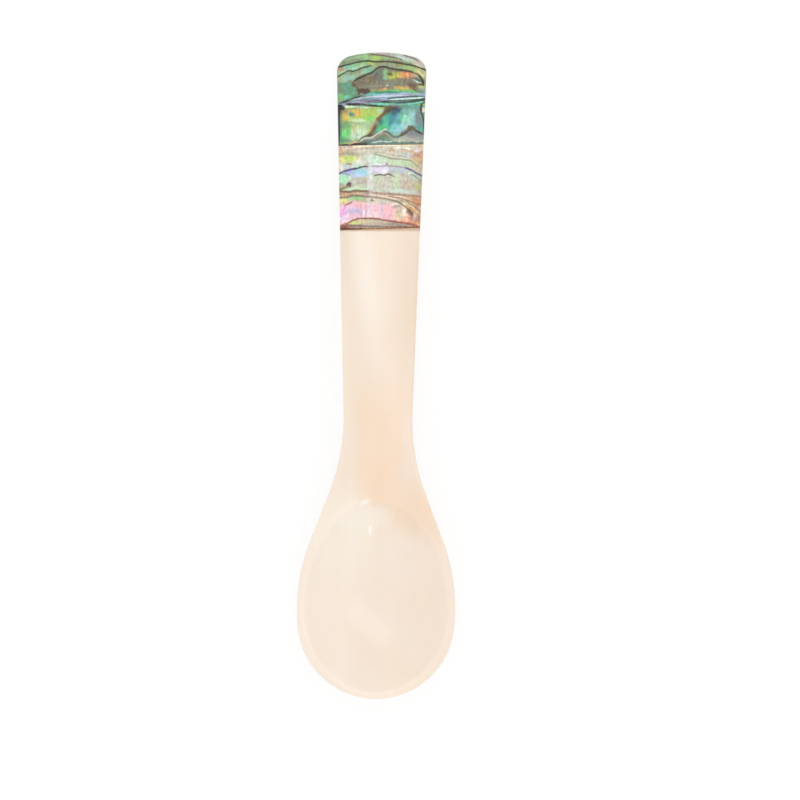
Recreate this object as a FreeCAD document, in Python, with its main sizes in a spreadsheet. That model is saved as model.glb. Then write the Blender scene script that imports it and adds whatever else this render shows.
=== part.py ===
"""Caviar spoon of 100 mm, carved from one piece of cream shell, with two abalone tiles let into its handle.

The spoon lies as it rests on a table: +Z is up, the handle's end points along +Y and the bowl's end along -Y.
The origin is on the table, under the middle of the length and of the width. All sizes are in millimetres.

The form is made as the real one is: a blank with the spoon's outline, its back and its face ground to shape,
the bowl hollowed by a round wheel, and the edges eased. The tiles are then parted from that form along a flat
seat, so that they lie flush with the handle and follow its crown and its eased edges.
"""

import FreeCAD, Part
import math
import os
import Sketcher
from FreeCAD import Vector

doc = FreeCAD.newDocument("CaviarSpoon")

# Driving sizes

SIZES = {
    # Outline seen from above
    "spoon_length": 100.0,
    "bowl_width": 24.5,
    "bowl_side_radius": 29.1,
    "bowl_end_blend_angle": 6.0,
    "flare_angle": 20.9,
    "neck_radius": 32.0,
    "waist_width": 10.7,
    "tip_width": 13.85,
    "tip_corner_radius": 2.6,
    "tip_crown_radius": 20.0,
    # Side view: heights above the table and thicknesses
    "tip_thickness": 3.0,
    "neck_back_height": 4.5,
    "neck_thickness": 3.1,
    "rim_height": 6.0,
    "rim_rise": 0.25,
    # Places along the spoon, from the bowl's end
    "crest_place": 42.0,
    "hollow_place": 30.7,
    "deepest_place": 14.0,
    # Shell of the bowl
    "rim_edge": 1.3,
    "rim_land": 0.95,
    "floor_thickness": 1.5,
    # Radii of the cross sections
    "handle_back_radius": 40.0,
    "handle_crown_radius": 55.0,
    "rim_crown_radius": 600.0,
    # Abalone tiles, with places from the handle's end
    "facing_length": 27.4,
    "facing_skew_angle": 2.2,
    "facing_depth": 1.1,
    "seam_place": 14.4,
    "seam_skew_angle": 1.6,
    # Eased edges
    "top_edge_bevel": 0.35,
    "back_edge_radius": 0.6,
    "lip_edge_radius": 0.35,
    # Sawn blank, and how far a cutter runs past it
    "blank_below": 2.0,
    "blank_height": 14.0,
    "cutter_margin": 1.5,
    "tip_overrun": 4.0,
    "end_overrun": 3.0,
}

sheet = doc.addObject("Spreadsheet::Sheet", "Sizes")
for row, (alias, number) in enumerate(SIZES.items(), start=1):
    sheet.set(f"A{row}", alias)
    sheet.set(f"B{row}", str(number))
    sheet.setAlias(f"B{row}", alias)
doc.recompute()


def size(formula):
    """The number that a formula of the sheet's sizes gives now."""
    return float(sheet.evalExpression(formula))


# Formulas for arcs in the side view


def arc_radius(run, rise):
    """Radius of an arc that starts level and climbs by rise over run."""
    return f"((({run})^2 + ({rise})^2) / (2 * ({rise})))"


def climb(run, rise, distance):
    """Height that such an arc has climbed at a distance from its level start."""
    radius = arc_radius(run, rise)
    return f"({radius} - sqrt({radius}^2 - ({distance})^2))"


def throat(high, low, distance):
    """Height at a distance from the neck's crest, on two arcs that run from high down to low."""
    half_run = f"{THROAT_RUN} / 2"
    half_drop = f"({high} - {low}) / 2"
    from_crest = climb(half_run, half_drop, f"min({distance}; {half_run})")
    to_bowl = climb(half_run, half_drop, f"min({THROAT_RUN} - ({distance}); {half_run})")
    return f"(({distance}) < {half_run} ? {high} - {from_crest} : {low} + {to_bowl})"


def ratio(first, last, share):
    """A radius that changes from first to last in even ratios."""
    return f"({first} * ({last} / {first})^({share}))"


# Lengths that follow from the driving sizes

HALF_LENGTH = "(Sizes.spoon_length / 2)"
HALF_BOWL = "(Sizes.bowl_width / 2)"
CREST_RUN = "(Sizes.spoon_length - Sizes.crest_place)"
THROAT_RUN = "(Sizes.crest_place - Sizes.deepest_place)"
BLANK_TOP = "(Sizes.blank_height - Sizes.blank_below)"
NECK_FACE = "(Sizes.neck_back_height + Sizes.neck_thickness)"
RIM_BACK = "(Sizes.rim_height - Sizes.rim_edge)"
BOWL_BACK_RADIUS = arc_radius(HALF_BOWL, RIM_BACK)

# The bowl's round end meets its sides on a tangent.
END_RADIUS = (
    f"(Sizes.bowl_side_radius"
    f" - (Sizes.bowl_side_radius - {HALF_BOWL}) / cos(Sizes.bowl_end_blend_angle))"
)

# The back meets the end so low that the eased edge there just touches the table.
TIP_SLOPE = f"(2 * Sizes.neck_back_height / {CREST_RUN})"
TIP_BACK = f"(Sizes.back_edge_radius * (1 - {TIP_SLOPE} - sqrt(1 + {TIP_SLOPE}^2)))"
TIP_FACE = f"({TIP_BACK} + Sizes.tip_thickness)"


def handle_face(distance):
    """Height of the handle's face at a distance from the neck's crest."""
    return f"({NECK_FACE} - {climb(CREST_RUN, f'{NECK_FACE} - {TIP_FACE}', distance)})"


# The hollow is level at its deepest point and runs out on the throat and on the rim.
HOLLOW_DEPTH = "(Sizes.rim_height - Sizes.floor_thickness)"
HOLLOW_TOP = throat(NECK_FACE, "Sizes.rim_height", "Sizes.crest_place - Sizes.hollow_place")
HOLLOW_CROSS_RADIUS = arc_radius(f"{HALF_BOWL} - Sizes.rim_land", HOLLOW_DEPTH)
HOLLOW_REAR_RADIUS = arc_radius(
    "Sizes.hollow_place - Sizes.deepest_place",
    f"{HOLLOW_TOP} - Sizes.floor_thickness",
)
HOLLOW_FRONT_RADIUS = arc_radius(
    "Sizes.deepest_place - Sizes.rim_land",
    f"{HOLLOW_DEPTH} + Sizes.rim_rise",
)

# Helpers for bodies and sketches

START, END, CENTRE = range(1, 4)
HORIZONTAL_AXIS, VERTICAL_AXIS = range(-1, -3, -1)
ORIGIN = (HORIZONTAL_AXIS, START)


def new_sketch(body, name, plane_role, offset=None):
    """A sketch on one of the body's own planes, moved along that plane's normal by the formula offset."""
    plane = next(f for f in body.Origin.OriginFeatures if f.Role == plane_role)
    sketch = body.newObject("Sketcher::SketchObject", name)
    sketch.AttachmentSupport = [(plane, "")]
    sketch.MapMode = "FlatFace"
    if offset:
        sketch.setExpression("AttachmentOffset.Base.z", offset)
    return sketch


def bind(sketch, kind, references, formula):
    """Adds a dimension to a sketch and binds it to a formula of the sheet's sizes."""
    number = size(formula)
    if kind == "Angle":
        number = math.radians(number)
    index = sketch.addConstraint(Sketcher.Constraint(kind, *references, number))
    sketch.setExpression(f"Constraints[{index}]", formula)


def join(sketch, kind, *references):
    """Adds a constraint without a size."""
    sketch.addConstraint(Sketcher.Constraint(kind, *references))


def line(sketch, start, end, construction=False):
    return sketch.addGeometry(Part.LineSegment(Vector(*start, 0), Vector(*end, 0)), construction)


def arc(sketch, centre, radius, start_angle, end_angle):
    """An arc drawn counterclockwise between two angles in radians."""
    circle = Part.Circle(Vector(*centre, 0), Vector(0, 0, 1), radius)
    return sketch.addGeometry(Part.ArcOfCircle(circle, start_angle, end_angle), False)


def polygon(sketch, corners):
    """A closed polygon. Each corner is a pair of formulas, measured from the sketch's origin."""
    points = [(size(across), size(up)) for across, up in corners]
    sides = [line(sketch, point, points[(i + 1) % len(points)]) for i, point in enumerate(points)]
    for i, side in enumerate(sides):
        join(sketch, "Coincident", side, END, sides[(i + 1) % len(sides)], START)
    for side, (across, up) in zip(sides, corners):
        bind(sketch, "DistanceX", (*ORIGIN, side, START), across)
        bind(sketch, "DistanceY", (*ORIGIN, side, START), up)


# Outline


def draw_outline(sketch):
    """The outline of tangent arcs and lines. It is drawn close to its final place, then held by its sizes."""
    half_bowl = size(HALF_BOWL)
    side_radius = size("Sizes.bowl_side_radius")
    end_radius = size(END_RADIUS)
    blend = math.radians(size("Sizes.bowl_end_blend_angle"))
    flare = math.radians(size("Sizes.flare_angle"))
    neck_radius = size("Sizes.neck_radius")
    half_waist = size("Sizes.waist_width / 2")
    half_tip = size("Sizes.tip_width / 2")
    corner_radius = size("Sizes.tip_corner_radius")
    crown_radius = size("Sizes.tip_crown_radius")

    end_y = end_radius - size(HALF_LENGTH)
    crown_y = size(HALF_LENGTH) - crown_radius
    side_x = half_bowl - side_radius
    side_y = end_y - side_x * math.tan(blend)
    flank_x = side_x + side_radius * math.cos(flare)
    flank_y = side_y + side_radius * math.sin(flare)
    flank_reach = flank_x * math.cos(flare) + flank_y * math.sin(flare)

    # The handle's sides lean out a little towards its end, by an angle that settles in a few rounds.
    lean = 0.0
    for _ in range(8):
        waist_y = neck_radius * (1 - math.cos(flare + lean)) + flank_reach - half_waist * math.cos(flare)
        waist_y /= math.sin(flare)
        corner_x = half_tip - corner_radius * math.cos(lean)
        corner_y = crown_y + math.sqrt((crown_radius - corner_radius) ** 2 - corner_x**2)
        tip_y = corner_y - corner_radius * math.sin(lean)
        lean = math.atan((half_tip - half_waist) / (tip_y - waist_y))
    neck_x = half_waist + neck_radius * math.cos(lean)
    neck_y = waist_y - neck_radius * math.sin(lean)
    neck_end = (neck_x - neck_radius * math.cos(flare), neck_y - neck_radius * math.sin(flare))
    corner_angle = math.atan2(corner_y - crown_y, corner_x)

    end_arc = arc(sketch, (0, end_y), end_radius, math.pi + blend, 2 * math.pi - blend)
    side = arc(sketch, (side_x, side_y), side_radius, -blend, flare)
    flank = line(sketch, (flank_x, flank_y), neck_end)
    neck = arc(sketch, (neck_x, neck_y), neck_radius, math.pi - lean, math.pi + flare)
    handle = line(sketch, (half_waist, waist_y), (half_tip, tip_y))
    corner = arc(sketch, (corner_x, corner_y), corner_radius, -lean, corner_angle)
    tip_arc = arc(sketch, (0, crown_y), crown_radius, corner_angle, math.pi - corner_angle)
    left_side = arc(sketch, (-side_x, side_y), side_radius, math.pi - flare, math.pi + blend)
    left_flank = line(sketch, (-flank_x, flank_y), (-neck_end[0], neck_end[1]))
    left_neck = arc(sketch, (-neck_x, neck_y), neck_radius, -flare, lean)
    left_handle = line(sketch, (-half_waist, waist_y), (-half_tip, tip_y))
    left_corner = arc(
        sketch, (-corner_x, corner_y), corner_radius, math.pi - corner_angle, math.pi + lean
    )

    join(sketch, "Tangent", end_arc, END, side, START)
    join(sketch, "Tangent", side, END, flank, START)
    join(sketch, "Tangent", flank, END, neck, END)
    join(sketch, "Tangent", neck, START, handle, START)
    join(sketch, "Tangent", handle, END, corner, START)
    join(sketch, "Tangent", corner, END, tip_arc, START)
    join(sketch, "Tangent", end_arc, START, left_side, END)
    join(sketch, "Tangent", left_side, START, left_flank, START)
    join(sketch, "Tangent", left_flank, END, left_neck, START)
    join(sketch, "Tangent", left_neck, END, left_handle, START)
    join(sketch, "Tangent", left_handle, END, left_corner, END)
    join(sketch, "Tangent", left_corner, START, tip_arc, END)

    join(sketch, "Horizontal", side, START, left_side, END)
    join(sketch, "Horizontal", side, END, left_side, START)
    join(sketch, "Horizontal", neck, END, left_neck, START)
    join(sketch, "Horizontal", handle, END, left_handle, END)
    join(sketch, "Equal", side, left_side)
    join(sketch, "Equal", neck, left_neck)
    join(sketch, "Equal", corner, left_corner)
    join(sketch, "PointOnObject", end_arc, CENTRE, VERTICAL_AXIS)
    join(sketch, "PointOnObject", tip_arc, CENTRE, VERTICAL_AXIS)

    bind(sketch, "Radius", (end_arc,), END_RADIUS)
    bind(sketch, "DistanceY", (end_arc, CENTRE, *ORIGIN), f"{HALF_LENGTH} - {END_RADIUS}")
    bind(sketch, "Radius", (tip_arc,), "Sizes.tip_crown_radius")
    bind(sketch, "DistanceY", (*ORIGIN, tip_arc, CENTRE), f"{HALF_LENGTH} - Sizes.tip_crown_radius")
    bind(sketch, "Radius", (side,), "Sizes.bowl_side_radius")
    bind(sketch, "DistanceX", (side, CENTRE, *ORIGIN), f"Sizes.bowl_side_radius - {HALF_BOWL}")
    bind(sketch, "Angle", (flank,), "90 + Sizes.flare_angle")
    bind(sketch, "Radius", (neck,), "Sizes.neck_radius")
    bind(sketch, "DistanceX", (*ORIGIN, handle, START), "Sizes.waist_width / 2")
    bind(sketch, "DistanceX", (*ORIGIN, handle, END), "Sizes.tip_width / 2")
    bind(sketch, "Radius", (corner,), "Sizes.tip_corner_radius")


# Cross sections of the back and the face

HANDLE_STEPS = 8
THROAT_STEPS = 4
BOWL_STEPS = 3


def stations():
    """Each cross section, as formulas for y, height of back, radius of back, height of face, radius of face."""
    made = []
    for step in range(HANDLE_STEPS + 1):
        distance = f"(({CREST_RUN} + Sizes.tip_overrun) * {HANDLE_STEPS - step} / {HANDLE_STEPS})"
        drop = climb(CREST_RUN, f"Sizes.neck_back_height - {TIP_BACK}", distance)
        back_radius = ratio("Sizes.handle_back_radius", BOWL_BACK_RADIUS, f"{step} / {HANDLE_STEPS}")
        made.append(
            (
                f"(Sizes.crest_place + {distance} - {HALF_LENGTH})",
                f"(Sizes.neck_back_height - {drop})",
                back_radius,
                handle_face(distance),
                "Sizes.handle_crown_radius",
            )
        )
    for step in range(1, THROAT_STEPS + 1):
        distance = f"({THROAT_RUN} * {step} / {THROAT_STEPS})"
        face_radius = ratio("Sizes.handle_crown_radius", "Sizes.rim_crown_radius", f"{step} / {THROAT_STEPS}")
        made.append(
            (
                f"(Sizes.crest_place - {distance} - {HALF_LENGTH})",
                throat("Sizes.neck_back_height", "0", distance),
                BOWL_BACK_RADIUS,
                throat(NECK_FACE, "Sizes.rim_height", distance),
                face_radius,
            )
        )
    for step in range(1, BOWL_STEPS + 1):
        distance = f"((Sizes.deepest_place + Sizes.end_overrun) * {step} / {BOWL_STEPS})"
        made.append(
            (
                f"(Sizes.deepest_place - {distance} - {HALF_LENGTH})",
                climb("Sizes.deepest_place", RIM_BACK, distance),
                BOWL_BACK_RADIUS,
                f"(Sizes.rim_height + Sizes.rim_rise * ({distance} / Sizes.deepest_place)^2)",
                "Sizes.rim_crown_radius",
            )
        )
    return made


CUTTER_HALF = f"({HALF_BOWL} + Sizes.cutter_margin)"
CUTTER_LOW = "(Sizes.blank_below + Sizes.cutter_margin)"
CUTTER_HIGH = f"({BLANK_TOP} + Sizes.cutter_margin)"


def draw_section(sketch, height, radius, above):
    """A section of a cutter: an arc at a height on the centreline, closed by a box above or below it."""
    half, middle, bend = size(CUTTER_HALF), size(height), size(radius)
    spread = math.asin(half / bend)
    if above:
        centre_y, far_y = middle - bend, size(CUTTER_HIGH)
        edge_y = centre_y + bend * math.cos(spread)
        curve = arc(sketch, (0, centre_y), bend, math.pi / 2 - spread, math.pi / 2 + spread)
        right_end, left_end = START, END
    else:
        centre_y, far_y = middle + bend, -size(CUTTER_LOW)
        edge_y = centre_y - bend * math.cos(spread)
        curve = arc(sketch, (0, centre_y), bend, 1.5 * math.pi - spread, 1.5 * math.pi + spread)
        right_end, left_end = END, START
    right = line(sketch, (half, edge_y), (half, far_y))
    far = line(sketch, (half, far_y), (-half, far_y))
    left = line(sketch, (-half, far_y), (-half, edge_y))

    join(sketch, "Coincident", curve, right_end, right, START)
    join(sketch, "Coincident", right, END, far, START)
    join(sketch, "Coincident", far, END, left, START)
    join(sketch, "Coincident", left, END, curve, left_end)
    join(sketch, "Vertical", right)
    join(sketch, "Vertical", left)
    join(sketch, "Horizontal", far)
    join(sketch, "PointOnObject", curve, CENTRE, VERTICAL_AXIS)
    bind(sketch, "Radius", (curve,), radius)
    bind(sketch, "DistanceX", (*ORIGIN, right, START), CUTTER_HALF)
    bind(sketch, "DistanceX", (left, START, *ORIGIN), CUTTER_HALF)
    if above:
        bind(sketch, "DistanceY", (curve, CENTRE, *ORIGIN), f"{radius} - {height}")
        bind(sketch, "DistanceY", (*ORIGIN, far, START), CUTTER_HIGH)
    else:
        bind(sketch, "DistanceY", (*ORIGIN, curve, CENTRE), f"{radius} + {height}")
        bind(sketch, "DistanceY", (far, START, *ORIGIN), CUTTER_LOW)


def grind(body, name, above):
    """Cuts the blank away above the face or below the back, by a loft through the stations."""
    sections = []
    for number, (y, back, back_radius, face, face_radius) in enumerate(stations(), start=1):
        sketch = new_sketch(body, f"{name}Section{number}", "XZ_Plane", f"-{y}")
        if above:
            draw_section(sketch, face, face_radius, above)
        else:
            draw_section(sketch, back, back_radius, above)
        sections.append(sketch)
    doc.recompute()
    loft = body.newObject("PartDesign::SubtractiveLoft", name)
    loft.Profile = sections[0]
    loft.Sections = sections[1:]
    doc.recompute()
    return loft


# Hollow of the bowl


def draw_hollow(sketch):
    """The wheel's profile in the spoon's middle plane: two arcs that meet level at the deepest point, and the axis."""
    deepest_y = size(f"Sizes.deepest_place - {HALF_LENGTH}")
    floor_z = size("Sizes.floor_thickness")
    axis_z = floor_z + size(HOLLOW_CROSS_RADIUS)
    rear_radius, front_radius = size(HOLLOW_REAR_RADIUS), size(HOLLOW_FRONT_RADIUS)
    rear_turn = math.acos(1 - (axis_z - floor_z) / rear_radius)
    front_turn = math.acos(1 - (axis_z - floor_z) / front_radius)
    lowest = 1.5 * math.pi
    rear = arc(sketch, (deepest_y, floor_z + rear_radius), rear_radius, lowest, lowest + rear_turn)
    front = arc(sketch, (deepest_y, floor_z + front_radius), front_radius, lowest - front_turn, lowest)
    rear_end = (deepest_y + rear_radius * math.sin(rear_turn), axis_z)
    front_end = (deepest_y - front_radius * math.sin(front_turn), axis_z)
    closing = line(sketch, rear_end, front_end)
    axis = line(sketch, front_end, rear_end, construction=True)

    join(sketch, "Tangent", rear, START, front, END)
    join(sketch, "Coincident", rear, END, closing, START)
    join(sketch, "Coincident", front, START, closing, END)
    join(sketch, "Horizontal", closing)
    join(sketch, "Vertical", rear, CENTRE, rear, START)
    join(sketch, "Coincident", axis, START, closing, END)
    join(sketch, "Coincident", axis, END, closing, START)
    bind(sketch, "Radius", (rear,), HOLLOW_REAR_RADIUS)
    bind(sketch, "Radius", (front,), HOLLOW_FRONT_RADIUS)
    bind(sketch, "DistanceX", (rear, START, *ORIGIN), f"{HALF_LENGTH} - Sizes.deepest_place")
    bind(sketch, "DistanceY", (*ORIGIN, rear, START), "Sizes.floor_thickness")
    bind(
        sketch,
        "DistanceY",
        (*ORIGIN, closing, START),
        f"Sizes.floor_thickness + {HOLLOW_CROSS_RADIUS}",
    )


# Eased edges


def middle_normal(face):
    low_u, high_u, low_v, high_v = face.ParameterRange
    return face.normalAt((low_u + high_u) / 2, (low_v + high_v) / 2)


def is_wall(face):
    """True for the upright faces of the outline."""
    return abs(middle_normal(face).z) < 1e-3


def is_ground(face):
    """True for the surfaces that the lofts have left."""
    return isinstance(face.Surface, Part.BSplineSurface) and not is_wall(face)


def is_face(face):
    return is_ground(face) and middle_normal(face).z > 0


def is_back(face):
    return is_ground(face) and middle_normal(face).z < 0


def is_hollow(face):
    """True for the surfaces that the wheel has left."""
    return isinstance(face.Surface, Part.SurfaceOfRevolution)


def edges_between(shape, first_kind, second_kind):
    """Names of the edges that a face of the first kind shares with a face of the second kind."""
    names = []
    for number, edge in enumerate(shape.Edges, start=1):
        faces = shape.ancestorsOfType(edge, Part.Face)
        if any(map(first_kind, faces)) and any(map(second_kind, faces)):
            names.append(f"Edge{number}")
    return names


def ease(body, name, base, first_kind, second_kind, operation, reach):
    """Eases the edges between two kinds of faces. The operation is a Fillet's Radius or a Chamfer's Size."""
    kind, measure = operation
    eased = body.newObject(f"PartDesign::{kind}", name)
    eased.Base = (base, edges_between(base.Shape, first_kind, second_kind))
    eased.setExpression(measure, reach)
    doc.recompute()
    return eased


# Whole form of the spoon

form = doc.addObject("PartDesign::Body", "SpoonForm")
outline = new_sketch(form, "Outline", "XY_Plane", "-Sizes.blank_below")
draw_outline(outline)
blank = form.newObject("PartDesign::Pad", "SawnBlank")
blank.Profile = outline
blank.setExpression("Length", "Sizes.blank_height")
doc.recompute()
grind(form, "BackGrind", above=False)
grind(form, "FaceGrind", above=True)

wheel_profile = new_sketch(form, "WheelProfile", "YZ_Plane")
draw_hollow(wheel_profile)
hollow = form.newObject("PartDesign::Groove", "BowlHollow")
hollow.Profile = wheel_profile
hollow.ReferenceAxis = (wheel_profile, ["Axis0"])
hollow.Angle = 360
doc.recompute()

ROUND = ("Fillet", "Radius")
BEVEL = ("Chamfer", "Size")
eased_top = ease(form, "TopEdges", hollow, is_wall, is_face, BEVEL, "Sizes.top_edge_bevel")
eased_back = ease(form, "BackEdges", eased_top, is_wall, is_back, ROUND, "Sizes.back_edge_radius")
ease(form, "HollowLip", eased_back, is_hollow, is_face, ROUND, "Sizes.lip_edge_radius")

# Room of the abalone tiles

BLOCK_HALF = CUTTER_HALF
BLOCK_FAR = f"({HALF_LENGTH} + Sizes.tip_overrun)"
SEAT_TIP = f"({TIP_FACE} - Sizes.facing_depth)"
SEAT_END = f"({handle_face(f'{CREST_RUN} - Sizes.facing_length')} - Sizes.facing_depth)"
SEAT_SLOPE = f"(({SEAT_END} - {SEAT_TIP}) / Sizes.facing_length)"


def handle_block(name, place, skew):
    """A block from a skewed line across the handle to past its end; the line's right side is nearer the end."""
    body = doc.addObject("PartDesign::Body", name)
    sketch = new_sketch(body, f"{name}Plan", "XY_Plane", "-Sizes.blank_below")
    lead = f"{BLOCK_HALF} * tan({skew})"
    left_y = f"{HALF_LENGTH} - {place} - {lead}"
    right_y = f"{HALF_LENGTH} - {place} + {lead}"
    polygon(
        sketch,
        [
            (f"-{BLOCK_HALF}", left_y),
            (BLOCK_HALF, right_y),
            (BLOCK_HALF, BLOCK_FAR),
            (f"-{BLOCK_HALF}", BLOCK_FAR),
        ],
    )
    pad = body.newObject("PartDesign::Pad", f"{name}Pad")
    pad.Profile = sketch
    pad.setExpression("Length", "Sizes.blank_height")
    doc.recompute()
    return body


def seat_height(y):
    """Height of the tiles' flat seat."""
    return f"{SEAT_TIP} + {SEAT_SLOPE} * ({HALF_LENGTH} - ({y}))"


facing_block = handle_block("FacingBlock", "Sizes.facing_length", "Sizes.facing_skew_angle")
seat_profile = new_sketch(facing_block, "SeatProfile", "YZ_Plane")
polygon(
    seat_profile,
    [
        ("0", "-Sizes.blank_height"),
        (BLOCK_FAR, "-Sizes.blank_height"),
        (BLOCK_FAR, seat_height(BLOCK_FAR)),
        ("0", seat_height("0")),
    ],
)
seat_cut = facing_block.newObject("PartDesign::Pocket", "SeatCut")
seat_cut.Profile = seat_profile
seat_cut.Midplane = True
seat_cut.Type = "ThroughAll"
doc.recompute()
upper_block = handle_block("UpperTileBlock", "Sizes.seam_place", "Sizes.seam_skew_angle")


def boolean(kind, name, base, tool):
    made = doc.addObject(f"Part::{kind}", name)
    made.Base = base
    made.Tool = tool
    return made


# Pieces of the spoon

facing = boolean("Common", "Facing", form, facing_block)
pieces = [
    boolean("Cut", "spoon_body", form, facing_block),
    boolean("Common", "upper_abalone_tile", facing, upper_block),
    boolean("Cut", "lower_abalone_tile", facing, upper_block),
]
doc.recompute()

# Check and export

for item in doc.Objects:
    if "Invalid" in item.State or "Error" in item.State:
        raise RuntimeError(f"{item.Label} failed: {item.State}")
for piece in pieces:
    if piece.Shape.isNull() or not piece.Shape.isValid() or len(piece.Shape.Solids) != 1:
        raise RuntimeError(f"{piece.Label} is not one valid solid")

os.makedirs("parts", exist_ok=True)
for piece in pieces:
    piece.Shape.exportStep(f"parts/{piece.Label}.step")
    box = piece.Shape.BoundBox
    print(f"{piece.Label}: {piece.Shape.Volume:.1f} mm3, {box.XLength:.2f} x {box.YLength:.2f} x {box.ZLength:.2f} mm")
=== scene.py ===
"""Dresses the caviar spoon: polished cream shell, two abalone tiles, a pale floor and soft studio light.

Sizes are in millimetres, and the meshes that they make are in metres, in the frame of the solids:
+Z up, the handle's end along +Y, the table at z = 0.
"""

import math
from collections import namedtuple
from functools import partial

import bpy
from mathutils import Matrix, Vector, geometry, kdtree


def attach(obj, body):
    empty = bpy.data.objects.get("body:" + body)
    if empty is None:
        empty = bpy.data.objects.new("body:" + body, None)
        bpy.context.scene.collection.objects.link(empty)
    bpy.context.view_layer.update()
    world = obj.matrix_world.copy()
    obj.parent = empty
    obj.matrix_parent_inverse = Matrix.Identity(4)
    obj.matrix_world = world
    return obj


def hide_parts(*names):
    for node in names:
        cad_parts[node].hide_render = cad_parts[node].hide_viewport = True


MM = 0.001

# Sizes of the form, as in the part's source

HALF_LENGTH = 50.0
HALF_BOWL = 12.25
BOWL_SIDE_RADIUS = 29.1
BOWL_END_BLEND = math.radians(6.0)
FLARE = math.radians(20.9)
NECK_RADIUS = 32.0
HALF_WAIST = 5.35
HALF_TIP = 6.925
TIP_CORNER_RADIUS = 2.6
TIP_CROWN_RADIUS = 20.0
TIP_FACE = 2.9
TIP_BACK = -0.1
NECK_FACE = 7.6
NECK_BACK = 4.5
RIM_HEIGHT = 6.0
RIM_RISE = 0.25
RIM_EDGE = 1.3
RIM_LAND = 0.95
FLOOR_THICKNESS = 1.5
CREST_Y = -8.0
DEEPEST_Y = -36.0
HOLLOW_TOP_Y = -19.3
HOLLOW_TOP = 7.08
HANDLE_BACK_RADIUS = 40.0
HANDLE_CROWN_RADIUS = 55.0
RIM_CROWN_RADIUS = 600.0
TIP_OVERRUN = 4.0
FACING_LENGTH = 27.4
FACING_DEPTH = 1.1
FACING_SKEW = math.radians(2.2)
SEAM_PLACE = 14.4
SEAM_SKEW = math.radians(1.6)

# Softly rounded edges, a little fuller than the solids' bevels
TOP_ROUND = 0.5
BACK_ROUND = 0.6
LIP_BLEND = 0.26
ROUND_STEPS = 6

# Spacing of the meshes' points, and how their places are searched for
OUTLINE_STEP = 0.3
FIELD_STEP = 0.4
LIP_POINTS = 300
LIP_OFFSETS = (-0.6, -0.45, -0.33, -0.22, -0.11, 0.0, 0.1, 0.2, 0.3, 0.42)
LIP_SEARCH_SHIFT = 5.0
LIP_SEARCH_REACH = 20.0
LIP_HALVINGS = 40
LIP_CLEARANCE = 0.07
LEAN_ROUNDS = 8
FIELD_CLEARANCE = 0.55 * FIELD_STEP
FIELD_SPACING = 0.6 * FIELD_STEP
MERGE_DISTANCE = 1e-6
SHARP_ANGLE = math.radians(40.0)

# A height where nothing cuts, and how far a block reaches past the handle to each side and up
ABOVE_ALL = 30.0
BLOCK_REACH = 14.0

# Lines across the handle that bound the tiles: place from the handle's end, and skew
END_LINE = (-TIP_OVERRUN, 0.0)
SEAM_LINE = (SEAM_PLACE, SEAM_SKEW)
FACING_LINE = (FACING_LENGTH, FACING_SKEW)


def radius_of(run, rise):
    """Radius of an arc that starts level and climbs by rise over run."""
    return (run**2 + rise**2) / (2 * rise)


def climb(run, rise, distance):
    """Height that such an arc has climbed at a distance from its level start."""
    radius = radius_of(run, rise)
    return radius - math.sqrt(radius**2 - distance**2)


def throat(high, low, distance):
    """Height at a distance from the neck's crest, on two arcs that run from high down to low."""
    run = CREST_Y - DEEPEST_Y
    if distance < run / 2:
        return high - climb(run / 2, (high - low) / 2, distance)
    return low + climb(run / 2, (high - low) / 2, run - distance)


BOWL_BACK_RADIUS = radius_of(HALF_BOWL, RIM_HEIGHT - RIM_EDGE)
END_RADIUS = BOWL_SIDE_RADIUS - (BOWL_SIDE_RADIUS - HALF_BOWL) / math.cos(BOWL_END_BLEND)
CREST_RUN = HALF_LENGTH - CREST_Y
THROAT_RUN = CREST_Y - DEEPEST_Y
END_RUN = DEEPEST_Y + HALF_LENGTH


def handle_face(y):
    """Height of the handle's crest line."""
    return NECK_FACE - climb(CREST_RUN, NECK_FACE - TIP_FACE, y - CREST_Y)


def face_height(x, y):
    """Height of the face that the crown of each cross section gives, before the bowl is hollowed."""
    if y >= CREST_Y:
        middle, radius = handle_face(y), HANDLE_CROWN_RADIUS
    elif y >= DEEPEST_Y:
        distance = CREST_Y - y
        middle = throat(NECK_FACE, RIM_HEIGHT, distance)
        radius = HANDLE_CROWN_RADIUS * (RIM_CROWN_RADIUS / HANDLE_CROWN_RADIUS) ** (distance / THROAT_RUN)
    else:
        middle = RIM_HEIGHT + RIM_RISE * ((DEEPEST_Y - y) / END_RUN) ** 2
        radius = RIM_CROWN_RADIUS
    return middle - radius + math.sqrt(radius**2 - x**2)


def back_height(x, y):
    """Height of the back."""
    radius = BOWL_BACK_RADIUS
    if y >= CREST_Y:
        middle = NECK_BACK - climb(CREST_RUN, NECK_BACK - TIP_BACK, y - CREST_Y)
        share = 1 - (y - CREST_Y) / (CREST_RUN + TIP_OVERRUN)
        radius = HANDLE_BACK_RADIUS * (BOWL_BACK_RADIUS / HANDLE_BACK_RADIUS) ** share
    elif y >= DEEPEST_Y:
        middle = throat(NECK_BACK, 0, CREST_Y - y)
    else:
        middle = climb(END_RUN, RIM_HEIGHT - RIM_EDGE, DEEPEST_Y - y)
    return middle + radius - math.sqrt(radius**2 - x**2)


HOLLOW_DEPTH = RIM_HEIGHT - FLOOR_THICKNESS
WHEEL_AXIS = FLOOR_THICKNESS + radius_of(HALF_BOWL - RIM_LAND, HOLLOW_DEPTH)
WHEEL_REAR_RADIUS = radius_of(HOLLOW_TOP_Y - DEEPEST_Y, HOLLOW_TOP - FLOOR_THICKNESS)
WHEEL_FRONT_RADIUS = radius_of(END_RUN - RIM_LAND, HOLLOW_DEPTH + RIM_RISE)


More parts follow.
